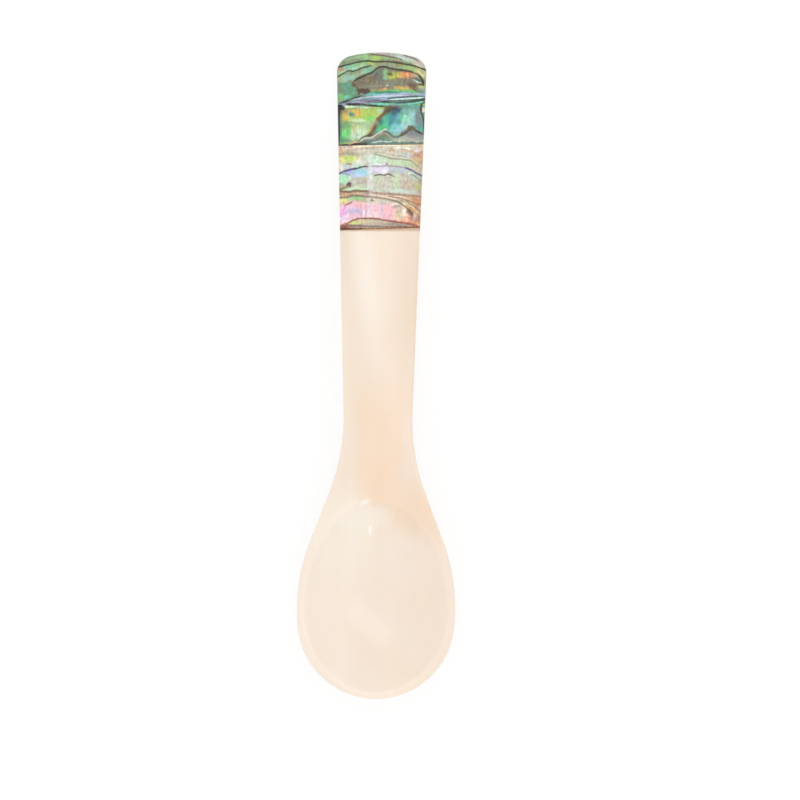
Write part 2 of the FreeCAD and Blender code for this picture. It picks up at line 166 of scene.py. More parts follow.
def hollow_height(x, y):
    """Height of the round wheel's cut, or a height above the whole spoon where the wheel doesn't reach."""
    arc_radius = WHEEL_REAR_RADIUS if y > DEEPEST_Y else WHEEL_FRONT_RADIUS
    along = abs(y - DEEPEST_Y)
    if along >= arc_radius:
        return ABOVE_ALL
    reach = WHEEL_AXIS - FLOOR_THICKNESS - arc_radius + math.sqrt(arc_radius**2 - along**2)
    if reach <= abs(x):
        return ABOVE_ALL
    return WHEEL_AXIS - math.sqrt(reach**2 - x**2)


def top_height(x, y):
    """Height of the hollowed face, with the hollow's lip eased."""
    face, hollow = face_height(x, y), hollow_height(x, y)
    overlap = max(LIP_BLEND - abs(face - hollow), 0.0) / LIP_BLEND
    return min(face, hollow) - overlap**2 * LIP_BLEND / 4


# Outline


def along_arc(centre, radius, start, end, outward=1):
    """Points on an arc, without its last one, each with the outline's outward normal."""
    count = max(2, math.ceil(abs(end - start) * radius / OUTLINE_STEP))
    made = []
    for i in range(count):
        angle = start + (end - start) * i / count
        ray = Vector((math.cos(angle), math.sin(angle)))
        made.append((Vector(centre) + ray * radius, ray * outward))
    return made


def along_line(start, end):
    """Points on a line, without its last one, each with the outline's outward normal."""
    start, end = Vector(start), Vector(end)
    run = end - start
    normal = Vector((run.y, -run.x)).normalized()
    count = max(2, math.ceil(run.length / OUTLINE_STEP))
    return [(start + run * (i / count), normal) for i in range(count)]


def outline_points():
    """The closed outline, counterclockwise from the bowl's end: a right half, and its mirror as the left."""
    end_y = END_RADIUS - HALF_LENGTH
    crown_y = HALF_LENGTH - TIP_CROWN_RADIUS
    side_x = HALF_BOWL - BOWL_SIDE_RADIUS
    side_y = end_y - side_x * math.tan(BOWL_END_BLEND)
    flank = (side_x + BOWL_SIDE_RADIUS * math.cos(FLARE), side_y + BOWL_SIDE_RADIUS * math.sin(FLARE))
    flank_reach = flank[0] * math.cos(FLARE) + flank[1] * math.sin(FLARE)
    lean = 0.0
    for _ in range(LEAN_ROUNDS):
        waist_y = NECK_RADIUS * (1 - math.cos(FLARE + lean)) + flank_reach - HALF_WAIST * math.cos(FLARE)
        waist_y /= math.sin(FLARE)
        corner_x = HALF_TIP - TIP_CORNER_RADIUS * math.cos(lean)
        corner_y = crown_y + math.sqrt((TIP_CROWN_RADIUS - TIP_CORNER_RADIUS) ** 2 - corner_x**2)
        tip_y = corner_y - TIP_CORNER_RADIUS * math.sin(lean)
        lean = math.atan((HALF_TIP - HALF_WAIST) / (tip_y - waist_y))
    neck = (HALF_WAIST + NECK_RADIUS * math.cos(lean), waist_y - NECK_RADIUS * math.sin(lean))
    neck_end = (neck[0] - NECK_RADIUS * math.cos(FLARE), neck[1] - NECK_RADIUS * math.sin(FLARE))
    corner_angle = math.atan2(corner_y - crown_y, corner_x)
    right = along_arc((0, end_y), END_RADIUS, -math.pi / 2, -BOWL_END_BLEND)
    right += along_arc((side_x, side_y), BOWL_SIDE_RADIUS, -BOWL_END_BLEND, FLARE)
    right += along_line(flank, neck_end)
    right += along_arc(neck, NECK_RADIUS, math.pi + FLARE, math.pi - lean, outward=-1)
    right += along_line((HALF_WAIST, waist_y), (HALF_TIP, tip_y))
    right += along_arc((corner_x, corner_y), TIP_CORNER_RADIUS, -lean, corner_angle)
    right += along_arc((0, crown_y), TIP_CROWN_RADIUS, corner_angle, math.pi / 2)
    end = [(Vector((0, HALF_LENGTH)), Vector((0, 1)))]
    left = [(Vector((-p.x, p.y)), Vector((-n.x, n.y))) for p, n in reversed(right[1:])]
    return right + end + left


def lip_rings():
    """Rings of points along the hollow's edge, each at its own distance from it."""
    centre = Vector((0, (DEEPEST_Y + HOLLOW_TOP_Y) / 2 - LIP_SEARCH_SHIFT))
    ring = []
    for i in range(LIP_POINTS):
        angle = 2 * math.pi * i / LIP_POINTS
        ray = Vector((math.cos(angle), math.sin(angle)))
        near, far = 0.0, LIP_SEARCH_REACH
        for _ in range(LIP_HALVINGS):
            middle = (near + far) / 2
            spot = centre + ray * middle
            if face_height(*spot) > hollow_height(*spot):
                near = middle
            else:
                far = middle
        ring.append(centre + ray * near)
    rings = []
    for offset in LIP_OFFSETS:
        moved = []
        for i, spot in enumerate(ring):
            run = ring[(i + 1) % LIP_POINTS] - ring[i - 1]
            moved.append(spot + Vector((run.y, -run.x)).normalized() * offset)
        rings.append(moved)
    return rings


def tree_of(points):
    """A tree that finds the nearest of the points."""
    tree = kdtree.KDTree(len(points))
    for i, point in enumerate(points):
        tree.insert((point.x, point.y, 0), i)
    tree.balance()
    return tree


def field_points(outline, inset, extra):
    """Points all over the inside of the outline: the extra ones, and a staggered field around them."""
    edge = tree_of([p for p, n in outline])

    def depth(point):
        _, index, _ = edge.find((point.x, point.y, 0))
        place, normal = outline[index]
        return (place - point).dot(normal)

    kept = [p for p in extra if depth(p) > inset + LIP_CLEARANCE]
    crowd = tree_of(kept) if kept else None
    row_step = FIELD_STEP * math.sqrt(3) / 2
    columns = math.ceil(HALF_BOWL / FIELD_STEP)
    made = list(kept)
    for row in range(math.ceil(2 * HALF_LENGTH / row_step)):
        y = -HALF_LENGTH + row * row_step
        shift = 0.5 * (row % 2)
        for column in range(-columns, columns):
            point = Vector(((column + shift) * FIELD_STEP, y))
            if depth(point) < inset + FIELD_CLEARANCE:
                continue
            if crowd and crowd.find((point.x, point.y, 0))[2] < FIELD_SPACING:
                continue
            made.append(point)
    return made


def covered(ring, inner_points):
    """Triangles that cover the inside of a ring through the inner points, wound counterclockwise."""
    count = len(ring)
    points = list(ring) + inner_points
    sides = [(i, (i + 1) % count) for i in range(count)]
    made, _, triangles, origins, _, _ = geometry.delaunay_2d_cdt(points, sides, [], 1, MERGE_DISTANCE, True)
    wound = []
    for triangle in triangles:
        a, b, c = sorted(origins[corner][0] for corner in triangle)
        outside_in = (points[b] - points[a]).cross(points[c] - points[a]) < 0
        if outside_in and c < count:
            # Three points of the ring in its own order turn this way only outside it.
            continue
        wound.append((a, c, b) if outside_in else (a, b, c))
    return points, wound


def blank_mesh():
    """The whole carved form as one closed mesh: face, rounded edges, side and back."""
    outline = outline_points()
    count = len(outline)
    vertices, faces = [], []

    def ring_at(inset, height, lift):
        first = len(vertices)
        for place, normal in outline:
            spot = place - normal * inset
            vertices.append((spot.x, spot.y, height(spot.x, spot.y) + lift))
        return first

    rings = []
    for step in range(ROUND_STEPS + 1):
        turn = math.pi / 2 * step / ROUND_STEPS
        inset, lift = TOP_ROUND * (1 - math.sin(turn)), TOP_ROUND * (math.cos(turn) - 1)
        rings.append(ring_at(inset, top_height, lift))
    for step in range(ROUND_STEPS, -1, -1):
        turn = math.pi / 2 * step / ROUND_STEPS
        inset, lift = BACK_ROUND * (1 - math.sin(turn)), BACK_ROUND * (1 - math.cos(turn))
        rings.append(ring_at(inset, back_height, lift))
    for upper, lower in zip(rings, rings[1:]):
        for i in range(count):
            after = (i + 1) % count
            faces.append((upper + i, lower + i, lower + after, upper + after))

    lip = [spot for ring in lip_rings() for spot in ring]
    for inset, height, first, extra, up in (
        (TOP_ROUND, top_height, rings[0], lip, True),
        (BACK_ROUND, back_height, rings[-1], [], False),
    ):
        ring = [place - normal * inset for place, normal in outline]
        points, triangles = covered(ring, field_points(outline, inset, extra))
        base = len(vertices)
        vertices += [(p.x, p.y, height(p.x, p.y)) for p in points[count:]]
        number = [first + i for i in range(count)] + [base + i for i in range(len(points) - count)]
        for a, b, c in triangles:
            faces.append((number[a], number[b], number[c]) if up else (number[a], number[c], number[b]))

    mesh = bpy.data.meshes.new("blank")
    mesh.from_pydata([Vector(v) * MM for v in vertices], [], faces)
    mesh.validate()
    return mesh


def seat_height(y):
    """Height of the flat seat under the tiles."""
    low = TIP_FACE - FACING_DEPTH
    high = handle_face(HALF_LENGTH - FACING_LENGTH) - FACING_DEPTH
    return low + (high - low) * (HALF_LENGTH - y) / FACING_LENGTH


def handle_block(near, far):
    """A block across the handle, above the seat, between two lines given by their place and skew."""
    left, right = -BLOCK_REACH, BLOCK_REACH
    corners = []
    for across, (place, skew) in ((left, near), (right, near), (right, far), (left, far)):
        corners.append((across, HALF_LENGTH - place + across * math.tan(skew)))
    low = [(x, y, seat_height(y)) for x, y in corners]
    high = [(x, y, BLOCK_REACH) for x, y in corners]
    faces = [(3, 2, 1, 0), (4, 5, 6, 7)]
    faces += [(i, (i + 1) % 4, (i + 1) % 4 + 4, i + 4) for i in range(4)]
    mesh = bpy.data.meshes.new("block")
    mesh.from_pydata([Vector(v) * MM for v in low + high], [], faces)
    return bpy.data.objects.new("block", mesh)


def parted(name, form, block, operation):
    """A piece of the form: what the block takes out of it, or what it leaves."""
    piece = bpy.data.objects.new(name, form.copy())
    bpy.context.scene.collection.objects.link(piece)
    bpy.context.scene.collection.objects.link(block)
    cut = piece.modifiers.new("cut", "BOOLEAN")
    cut.operation = operation
    cut.solver = "EXACT"
    cut.object = block
    depsgraph = bpy.context.evaluated_depsgraph_get()
    mesh = bpy.data.meshes.new_from_object(piece.evaluated_get(depsgraph))
    piece.modifiers.clear()
    piece.data = mesh
    mesh.name = name
    bpy.data.objects.remove(block)
    mesh.shade_smooth()
    mesh.set_sharp_from_angle(angle=SHARP_ANGLE)
    return piece


# Camera: straight above, far away with a long lens, turned a little as the spoon leans in the picture

PICTURE_SIZE = 800
SENSOR = 36.0
LENS = 600.0
PIXELS_PER_MM = 6.47
CAMERA_ROLL = math.radians(0.6)
SPOON_MIDDLE_IN_PICTURE = (378.5, 375.4)
OUTLINE_HEIGHT = 5.0
CLIP_RATIO = 10.0


def add_camera():
    """The picture's camera."""
    data = bpy.data.cameras.new("camera")
    data.sensor_width = SENSOR
    data.lens = LENS
    pixel = MM / PIXELS_PER_MM
    distance = LENS / SENSOR * PICTURE_SIZE * pixel
    across = (PICTURE_SIZE / 2 - SPOON_MIDDLE_IN_PICTURE[0]) * pixel
    up = (SPOON_MIDDLE_IN_PICTURE[1] - PICTURE_SIZE / 2) * pixel
    turn = Matrix.Rotation(CAMERA_ROLL, 4, "Z")
    camera = bpy.data.objects.new("camera", data)
    camera.matrix_world = turn @ Matrix.Translation((across, up, OUTLINE_HEIGHT * MM + distance))
    data.clip_start = distance / CLIP_RATIO
    data.clip_end = distance * CLIP_RATIO
    bpy.context.scene.collection.objects.link(camera)
    bpy.context.scene.camera = camera


# Places read in the picture, as pixels, turned into millimetres on the spoon


def on_spoon(across, down):
    """Millimetres to the right of the middle and from the handle's end, for a pixel of the picture."""
    right = (across - SPOON_MIDDLE_IN_PICTURE[0]) / PIXELS_PER_MM
    up = (SPOON_MIDDLE_IN_PICTURE[1] - down) / PIXELS_PER_MM
    x = right * math.cos(CAMERA_ROLL) - up * math.sin(CAMERA_ROLL)
    y = right * math.sin(CAMERA_ROLL) + up * math.cos(CAMERA_ROLL)
    return x, HALF_LENGTH - y


# Drawing with nodes, in strokes whose places and widths are pixels of the picture

TILE_SPAN = 28.0
LONGEST_TAPER = 0.15
TIP_MARGIN = 0.001
TIP_PROFILE = -0.6
CUT_FADE = 0.003
HALO_REACH = 0.1

PATCH_FIELDS = "across down wide high colour strength edge tilt"
FILL_FIELDS = "points colour upright flip between soft strength"
LINE_FIELDS = "points width colour strength upright soft taper halo"
Patch = namedtuple("Patch", PATCH_FIELDS, defaults=(1.0, 0.75, 0.0))
Fill = namedtuple("Fill", FILL_FIELDS, defaults=(False, False, None, 0.06, 1.0))
Line = namedtuple("Line", LINE_FIELDS, defaults=(1.0, False, 0.1, 0.3, 0.0))

# A growth line fades into the layers beside it, and a streak runs along the handle
vein = partial(Line, halo=0.45)
streak = partial(Line, upright=True)


def linear(colour):
    """A display colour of 0 to 255 a channel as a linear one."""
    made = []
    for channel in colour:
        share = channel / 255
        made.append(share / 12.92 if share <= 0.04045 else ((share + 0.055) / 1.055) ** 2.4)
    return (*made, 1)


class Nodes:
    """A material and what builds its nodes."""

    def __init__(self, name):
        self.material = bpy.data.materials.new(name)
        self.material.use_nodes = True
        self.tree = self.material.node_tree
        self.shader = self.tree.nodes["Principled BSDF"]

    def feed(self, node, inputs):
        """Links a node's inputs to sockets, or sets them to constants."""
        for socket, value in inputs.items():
            if isinstance(value, bpy.types.NodeSocket):
                self.tree.links.new(value, node.inputs[socket])
            else:
                node.inputs[socket].default_value = value

    def node(self, kind, inputs, **settings):
        """A new node with its settings and inputs."""
        made = self.tree.nodes.new(kind)
        for name, value in settings.items():
            setattr(made, name, value)
        self.feed(made, inputs)
        return made

    def math(self, operation, first, second=0.0, third=0.0):
        return self.node("ShaderNodeMath", {0: first, 1: second, 2: third}, operation=operation).outputs[0]

    def vector(self, operation, first, second, third=(0, 0, 0)):
        values = {0: first, 1: second, 2: third}
        return self.node("ShaderNodeVectorMath", values, operation=operation).outputs[0]

    def measure(self, operation, first, second=(0, 0, 0)):
        """A vector operation that gives a number."""
        values = {0: first, 1: second}
        return self.node("ShaderNodeVectorMath", values, operation=operation).outputs["Value"]

    def noise(self, place, stretch, detail=2.0, roughness=0.5, colour=False, seed=0.0):
        """Noise with so many bumps a millimetre along each axis."""
        scaled = self.vector("MULTIPLY_ADD", place, stretch, (seed, seed * 1.7, seed * 0.6))
        inputs = {"Vector": scaled, "Scale": 1.0, "Detail": detail, "Roughness": roughness}
        return self.node("ShaderNodeTexNoise", inputs).outputs["Color" if colour else "Fac"]

    def step(self, value, zero_at, one_at, reach=1.0):
        """Rises smoothly from 0 where the value is zero_at to reach where it is one_at."""
        inputs = {"Value": value, 1: zero_at, 2: one_at, 3: 0.0, 4: reach}
        kind = "SMOOTHSTEP"
        return self.node("ShaderNodeMapRange", inputs, interpolation_type=kind, clamp=False).outputs[0]

    def curve(self, value, points):
        """A smooth curve through points, each from 0 to 1 both ways."""
        made = self.node("ShaderNodeFloatCurve", {1: value})
        line = made.mapping.curves[0]
        made.mapping.use_clip = False
        for x, y in points[1:-1]:
            line.points.new(x, y)
        line.points[0].location = points[0]
        line.points[len(line.points) - 1].location = points[-1]
        for point in line.points:
            point.handle_type = "AUTO_CLAMPED"
        made.mapping.update()
        return made.outputs[0]


class Sheet(Nodes):
    """A drawn material. Its paper is the place on the spoon, across it and from the handle's end."""

    def __init__(self, name, ground, waver, streak, roam):
        """Lines waver a little on the paper, and patches streak and roam too, in millimetres."""
        super().__init__(name)
        self.paint = linear(ground)
        place = self.node("ShaderNodeTexCoord", {}).outputs["Object"]
        self.solid = self.vector("MULTIPLY", place, (1 / MM, 1 / MM, 1 / MM))
        self.place = self.vector("MULTIPLY_ADD", place, (1 / MM, -1 / MM, 0), (0, HALF_LENGTH, 0))
        slow = self.noise(self.place, (1.3, 1.3, 1), 3.0, colour=True, seed=3.0)
        broad = self.noise(self.place, (0.5, 0.6, 1), 2.0, colour=True, seed=15.0)
        quick = self.noise(self.place, (5.0, 0.9, 1), 3.0, 0.6, colour=True, seed=9.0)
        drawn = self.swayed(self.place, slow, waver, waver)
        self.loose = self.swayed(self.swayed(drawn, broad, roam, roam), quick, streak * 0.3, streak)
        self.across = self.math("ADD", self.measure("DOT_PRODUCT", drawn, (1 / TILE_SPAN, 0, 0)), 0.5)
        self.along = self.measure("DOT_PRODUCT", drawn, (0, 1 / TILE_SPAN, 0))
        uneven = self.noise(self.place, (0.9, 0.9, 1), 2.0, seed=21.0)
        self.thickness = self.math("MULTIPLY_ADD", uneven, 1.2, 0.4)

    def swayed(self, place, noise, across, along):
        """A place moved by a noise, within a range across the spoon and one along it."""
        shift = self.vector("MULTIPLY_ADD", noise, (across, along, 0), (-across / 2, -along / 2, 0))
        return self.vector("ADD", place, shift)

    def lay(self, colour, share):
        """Lays a colour over the paint, as thickly as the share says."""
        inputs = {0: share, 6: self.paint, 7: linear(colour)}
        self.paint = self.node("ShaderNodeMix", inputs, data_type="RGBA").outputs[2]

    def draw(self, *groups):
        """Draws groups of strokes one over the other."""
        ways = {Patch: self.patch, Fill: self.fill, Line: self.line}
        for group in groups:
            for stroke in group:
                ways[type(stroke)](*stroke)

    def patch(self, across, down, wide, high, colour, strength, edge, tilt):
        """A soft oval patch, given by its centre and its half sizes."""
        x, s = on_spoon(across, down)
        wide, high = wide / PIXELS_PER_MM, high / PIXELS_PER_MM
        if tilt:
            cosine, sine = math.cos(math.radians(tilt)), math.sin(math.radians(tilt))
            moved = self.vector("SUBTRACT", self.loose, (x, s, 0))
            first = self.measure("DOT_PRODUCT", moved, (cosine / wide, sine / wide, 0))
            second = self.measure("DOT_PRODUCT", moved, (-sine / high, cosine / high, 0))
            square = self.math("MULTIPLY_ADD", second, second, self.math("MULTIPLY", first, first))
            away = self.math("SQRT", square)
        else:
            scale, shift = (1 / wide, 1 / high, 0), (-x / wide, -s / high, 0)
            away = self.measure("LENGTH", self.vector("MULTIPLY_ADD", self.loose, scale, shift))
        self.lay(colour, self.step(away, 1 + edge, 1 - edge, strength))

    def gap(self, points, upright):
        """Millimetres that the place lies below a line, or right of an upright one, and the line's ends."""
        known, other = (self.along, self.across) if upright else (self.across, self.along)
        spots = [on_spoon(*point) for point in points]
        spots = [(x / TILE_SPAN + 0.5, s / TILE_SPAN) for x, s in spots]
        if upright:
            spots = [(v, u) for u, v in spots]
        spots.sort()
        line = self.curve(known, spots)
        gap = self.math("MULTIPLY", self.math("SUBTRACT", other, line), TILE_SPAN)
        return gap, spots[0][0], spots[-1][0], known

    def fill(self, points, colour, upright, flip, between, soft, strength):
        """Colours all that lies below a line or right of an upright one, or the other side if flipped."""
        gap, _, _, known = self.gap(points, upright)
        sign = -1 if flip else 1
        share = self.step(gap, -soft * sign, soft * sign, strength)
        if between:
            axis = 1 if upright else 0
            near, far = (on_spoon(*point)[axis] / TILE_SPAN + (0 if upright else 0.5) for point in between)
            share = self.math("MULTIPLY", share, self.step(known, near - CUT_FADE, near + CUT_FADE))
            share = self.math("MULTIPLY", share, self.step(known, far + CUT_FADE, far - CUT_FADE))
        self.lay(colour, share)

    def line(self, points, width, colour, strength, upright, soft, taper, halo):
        """A tapering line through points, with a halo around it."""
        gap, start, end, known = self.gap(points, upright)
        run = min(LONGEST_TAPER, (end - start) * taper)
        tips = (start - TIP_MARGIN, TIP_PROFILE), (end + TIP_MARGIN, TIP_PROFILE)
        profile = self.curve(known, [tips[0], (start + run, 1), (end - run, 1), tips[1]])
        reach = self.math("MULTIPLY", profile, self.thickness)
        reach = self.math("MULTIPLY", reach, width / PIXELS_PER_MM / 2)
        over = self.math("SUBTRACT", self.math("ABSOLUTE", gap), reach)
        if halo:
            near = self.step(over, HALO_REACH + HALO_REACH * width, 0, halo)
            self.lay(colour, self.math("MULTIPLY", near, self.step(profile, 0, 1)))
        self.lay(colour, self.step(over, soft, -soft * 0.5, strength))

    def finish(self, tuning, bump, rough, levels):
        """Tunes the paint, wires it, the bump and the roughness to the shader, and sets its levels."""
        tuned = self.node("ShaderNodeHueSaturation", {"Color": self.paint, **tuning})
        made = self.node("ShaderNodeBump", bump)
        wired = {"Base Color": tuned.outputs[0], "Roughness": rough, "Normal": made.outputs[0]}
        self.feed(self.shader, {**wired, **levels})
        return self.material


# Colours of the shell

INK = (40, 36, 38)
UMBER = (62, 42, 30)
DARK_BROWN = (86, 68, 48)
BROWN = (110, 86, 54)
RUSSET = (134, 76, 56)
WALNUT = (116, 100, 80)
CHESTNUT = (148, 100, 74)
KHAKI = (138, 130, 108)
TAUPE = (148, 132, 118)
MUSHROOM = (180, 168, 150)
BEIGE = (198, 182, 160)
TAN = (204, 164, 126)
SAND = (214, 190, 152)
BUFF = (222, 202, 180)
CREAM = (246, 230, 206)
IVORY = (240, 240, 226)
WHITE = (248, 250, 248)
RUST = (200, 128, 82)
COPPER = (216, 148, 88)
ORANGE = (238, 150, 84)
AMBER = (230, 176, 84)
GOLD = (232, 196, 92)
STRAW = (226, 214, 146)
YELLOW = (238, 232, 150)
APRICOT = (240, 184, 140)
PEACH = (248, 222, 190)
CLAY = (190, 148, 122)
OLIVE = (112, 96, 44)
MOSS = (152, 144, 84)
LIME = (188, 212, 88)
BRIGHT_LIME = (196, 218, 68)
PALE_LIME = (204, 216, 130)
SAGE = (154, 176, 126)
PALE_SAGE = (184, 200, 156)
CELADON = (200, 220, 182)
MINT = (200, 238, 198)
LEAF = (106, 142, 104)
GREEN = (120, 206, 106)
BRIGHT_GREEN = (112, 226, 114)
FRESH_GREEN = (144, 210, 136)
PALE_GREEN = (174, 236, 184)
DARK_GREEN = (54, 74, 66)
FOREST = (84, 120, 102)
JADE = (100, 160, 128)
EMERALD = (50, 184, 128)
SEA_GREEN = (82, 190, 164)
AQUAMARINE = (128, 216, 188)
PALE_AQUA = (172, 218, 198)
ICE = (204, 240, 224)
DEEP_TEAL = (52, 104, 94)
TEAL = (58, 146, 138)
MIST = (136, 152, 146)
CYAN = (112, 210, 204)
PALE_CYAN = (160, 220, 212)
SKY = (162, 218, 236)
PALE_BLUE = (178, 198, 210)
BLUE = (32, 108, 142)
NAVY = (44, 84, 140)
SLATE = (134, 138, 150)
GREY = (150, 150, 146)
SILVER = (196, 194, 182)
STONE = (206, 202, 184)
PEARL = (222, 222, 204)
VIOLET = (96, 60, 136)
PLUM = (96, 66, 78)
DUSK = (86, 84, 124)
HEATHER = (178, 160, 182)
LILAC = (206, 192, 224)
LAVENDER = (184, 186, 238)
PALE_LILAC = (226, 216, 240)
SNOW = (246, 240, 248)
ROSE = (240, 184, 194)
PINK = (242, 200, 208)
BRIGHT_PINK = (242, 178, 226)
SALMON = (228, 142, 132)
SHADOW = (66, 50, 46)
TEAL_GREY = (104, 148, 138)
PERIWINKLE = (196, 202, 236)
AVOCADO = (164, 176, 88)
PISTACHIO = (172, 200, 118)
STEEL = (158, 176, 204)
PETROL = (60, 154, 164)
VIRIDIAN = (50, 158, 118)
SPRING_GREEN = (116, 238, 150)
AUBERGINE = (114, 76, 112)
OCHRE = (184, 164, 90)
FERN = (130, 152, 122)
SPRUCE = (112, 130, 118)
DRAB = (162, 160, 128)
FROST = (220, 252, 208)
PALE_PINK = (248, 218, 222)
DARK_OLIVE = (38, 44, 18)


# Dark tile: top layer, at the handle's end

DARK_TOP_LAYER = (
    Patch(352, 62, 18, 8, FERN, 0.6),
    Patch(366, 56.5, 5, 5, FRESH_GREEN, 0.9),
    Patch(372, 54, 5, 2.5, TAUPE, 0.7),
    Patch(377, 58, 5, 3, LIME, 0.9),
    Patch(390, 58.5, 10, 3, SAGE, 0.8),
    Fill([(369, 52), (376, 53.8), (387, 55.5), (397.6, 57.8), (405, 60), (414, 64), (423, 69)], SILVER,
          flip=True, between=((371, 60), (430, 60))),
    Patch(404, 58, 10, 2.6, ICE, 0.6, tilt=17),
    Patch(405, 61.6, 7, 1.8, SAGE, 0.9, tilt=12),
    Patch(397.5, 61, 4, 1.6, CLAY, 0.8),
    Patch(416, 63.5, 4, 2.6, BUFF, 0.8, tilt=20),
    Line([(345, 60), (356, 57), (368, 55)], 0.8, PALE_GREEN, 0.6, soft=0.2),
    Line([(376, 59.5), (390, 59.8), (400, 61.2), (414, 64)], 0.6, OLIVE, 0.5),
)

# Second layer, down to the island and the left edge

FIRST_LINE = [
    (334, 67.6), (338, 66.8), (344.5, 65.2), (353.9, 62.7), (363.3, 60.8), (368.3, 60.5), (374.5, 61.3),
    (385.1, 61.4), (394.5, 62.1), (403.9, 63.6), (413.3, 65.5), (422, 68.3), (427, 70),
]
DARK_SECOND_LAYER = (
    Fill(FIRST_LINE, SAGE),
    Patch(341, 69.5, 5, 2.5, TAN, 0.8),
    Patch(351, 67, 8, 3, AQUAMARINE, 0.75),
    Patch(360, 64.5, 8, 2.5, FRESH_GREEN, 0.7),
    Patch(371, 62.8, 4, 1.5, LIME, 0.8),
    Patch(385, 64.5, 10, 2, DRAB, 0.8),
    Patch(399.5, 65, 4, 1.4, CHESTNUT, 0.6),
    Patch(411, 67.8, 9, 2.4, PISTACHIO, 0.8, tilt=12),
    Patch(421, 72, 3.5, 5, STRAW, 0.8, tilt=-20),
    Patch(348, 77, 7, 4.5, PALE_CYAN, 0.55),
    Patch(359, 73, 8, 3, SAGE, 0.8, tilt=-18),
    Patch(368, 70.5, 5, 2.8, AQUAMARINE, 0.7, tilt=-25),
    Patch(340.5, 80, 3.5, 3, PALE_SAGE, 0.8),
    Patch(340, 88, 4.5, 6, FERN, 0.85),
    Patch(346.5, 89, 3.5, 7, JADE, 0.75),
    Patch(352, 84, 3, 4, JADE, 0.7),
    Line([(340, 73), (348, 69.4), (356, 67.2), (366, 64)], 0.8, MINT, 0.6, soft=0.15),
    Line([(342, 84), (350, 78), (358, 74.5), (366, 71.5)], 1.0, PALE_AQUA, 0.5, soft=0.2),
    Line([(338, 90), (345, 84), (353, 78.5)], 0.8, SPRUCE, 0.5, soft=0.2),
    Patch(350, 71.5, 5, 2, FERN, 0.6),
    Patch(351, 82, 4, 3, FERN, 0.6),
)

# Island, inside its brown outline

ISLAND_OUTLINE = [
    (352.4, 97), (352.7, 84), (353.4, 81.6), (355.1, 79.9), (360.1, 77.4), (367, 74.3), (372.6, 71.8),
    (377, 68), (380.1, 66.6), (385.8, 66.8), (390.8, 68), (399.5, 69.6), (407, 70.5), (413.9, 72.4),
    (418.3, 74.6), (421.4, 78), (423.3, 81.8), (423.8, 88),
]
ISLAND_LEFT_WALL = [(353.4, 81), (352.8, 83), (354.2, 84.9), (357, 88), (358.9, 91.8), (357.6, 96)]
ISLAND = (
    Fill(ISLAND_OUTLINE, KHAKI),
    Fill(ISLAND_LEFT_WALL, JADE, upright=True, flip=True, between=((352, 83), (352, 99))),
    Patch(346, 92, 6, 6, JADE, 0.8),
    Patch(339.5, 90, 3.5, 6, FERN, 0.85),
    Patch(340, 97, 3.5, 3, GREEN, 0.85),
    Patch(346.5, 97.5, 4, 2, AQUAMARINE, 0.85),
    Patch(369, 79, 4, 4, MOSS, 0.7),
    Patch(378, 75, 5.5, 6.5, SPRUCE, 0.85),
    Patch(386.6, 72.4, 2.4, 4.6, FRESH_GREEN, 0.8),
    Patch(385.5, 77, 1.8, 1.6, AQUAMARINE, 0.6),
    Patch(395, 75.5, 6.5, 4, BRIGHT_LIME),
    Patch(390.5, 73, 2.2, 1.6, DARK_BROWN, 0.9),
    Patch(406, 74.8, 8, 3.8, ORANGE),
    Patch(401, 77, 5, 2, GOLD, 0.8),
    Patch(415, 76, 3.5, 2.6, SAND, 0.8),
    Patch(401, 82.5, 15, 3.6, KHAKI, 0.9),
    Patch(381, 84, 9, 4, KHAKI, 0.8),
    # Painted glint: a small white spot.
    Patch(386.5, 85.5, 1.5, 1, IVORY, 0.9),
    Patch(417.5, 80, 4.5, 2, DEEP_TEAL, 0.8, tilt=12),
    Patch(416.5, 81.2, 4.5, 0.8, ICE, 0.9, tilt=14),
    Patch(378, 90, 9, 1.4, AVOCADO, 0.85),
    Patch(384, 89, 3, 1.2, ORANGE, 0.8),
    Patch(403, 89, 8, 1.5, AMBER, 0.85),
    Patch(398, 91.3, 18, 1.3, GREEN, 0.9),
    Patch(420.5, 86, 3.5, 1.6, PALE_LIME, 0.9),
    Patch(421.5, 89, 2.4, 1.5, PALE_BLUE, 0.5),
    Patch(364, 91.2, 6.5, 3, DARK_BROWN, edge=0.25),
    streak([(377, 71), (372, 80), (366, 88)], 1.2, SPRUCE, 0.5, soft=0.2),
    streak([(382, 72), (378, 79), (373, 86)], 0.8, SAGE, 0.5, soft=0.2),
    Line([(392, 80.6), (402, 79.8), (412, 80.4)], 0.8, TAUPE, 0.6, soft=0.15),
    Patch(371, 78.5, 4.5, 3, WALNUT, 0.7, tilt=-25),
    Patch(412.5, 86, 4, 3, WALNUT, 0.8),
    Patch(414, 90.6, 5, 1.6, MOSS, 0.6),
    Patch(412, 80, 4, 2.4, KHAKI, 0.7),
    Patch(391, 85, 6, 2.6, FERN, 0.45),
    Patch(360, 82, 6, 4, WALNUT, 0.6, tilt=-20),
    Patch(377, 76, 4, 3, WALNUT, 0.6),
    Patch(414, 87.4, 4, 2, OLIVE, 0.5),
    Patch(411, 86.6, 3, 2.4, BROWN, 0.5),
    streak([(381, 70), (380.5, 76), (380, 82)], 0.9, DEEP_TEAL, 0.45, soft=0.3),
    streak([(376.5, 72), (375.5, 78), (374.5, 84)], 0.8, WALNUT, 0.5, soft=0.3),
    streak([(396, 71), (396, 75), (395.6, 78)], 0.7, OLIVE, 0.5, soft=0.2),
    streak([(402.4, 72), (402.6, 75.5), (402.4, 78)], 0.7, RUST, 0.6, soft=0.2),
    streak([(407.6, 72.6), (407.6, 75.5), (407.4, 78)], 0.7, GOLD, 0.6, soft=0.2),
)

# Braided band

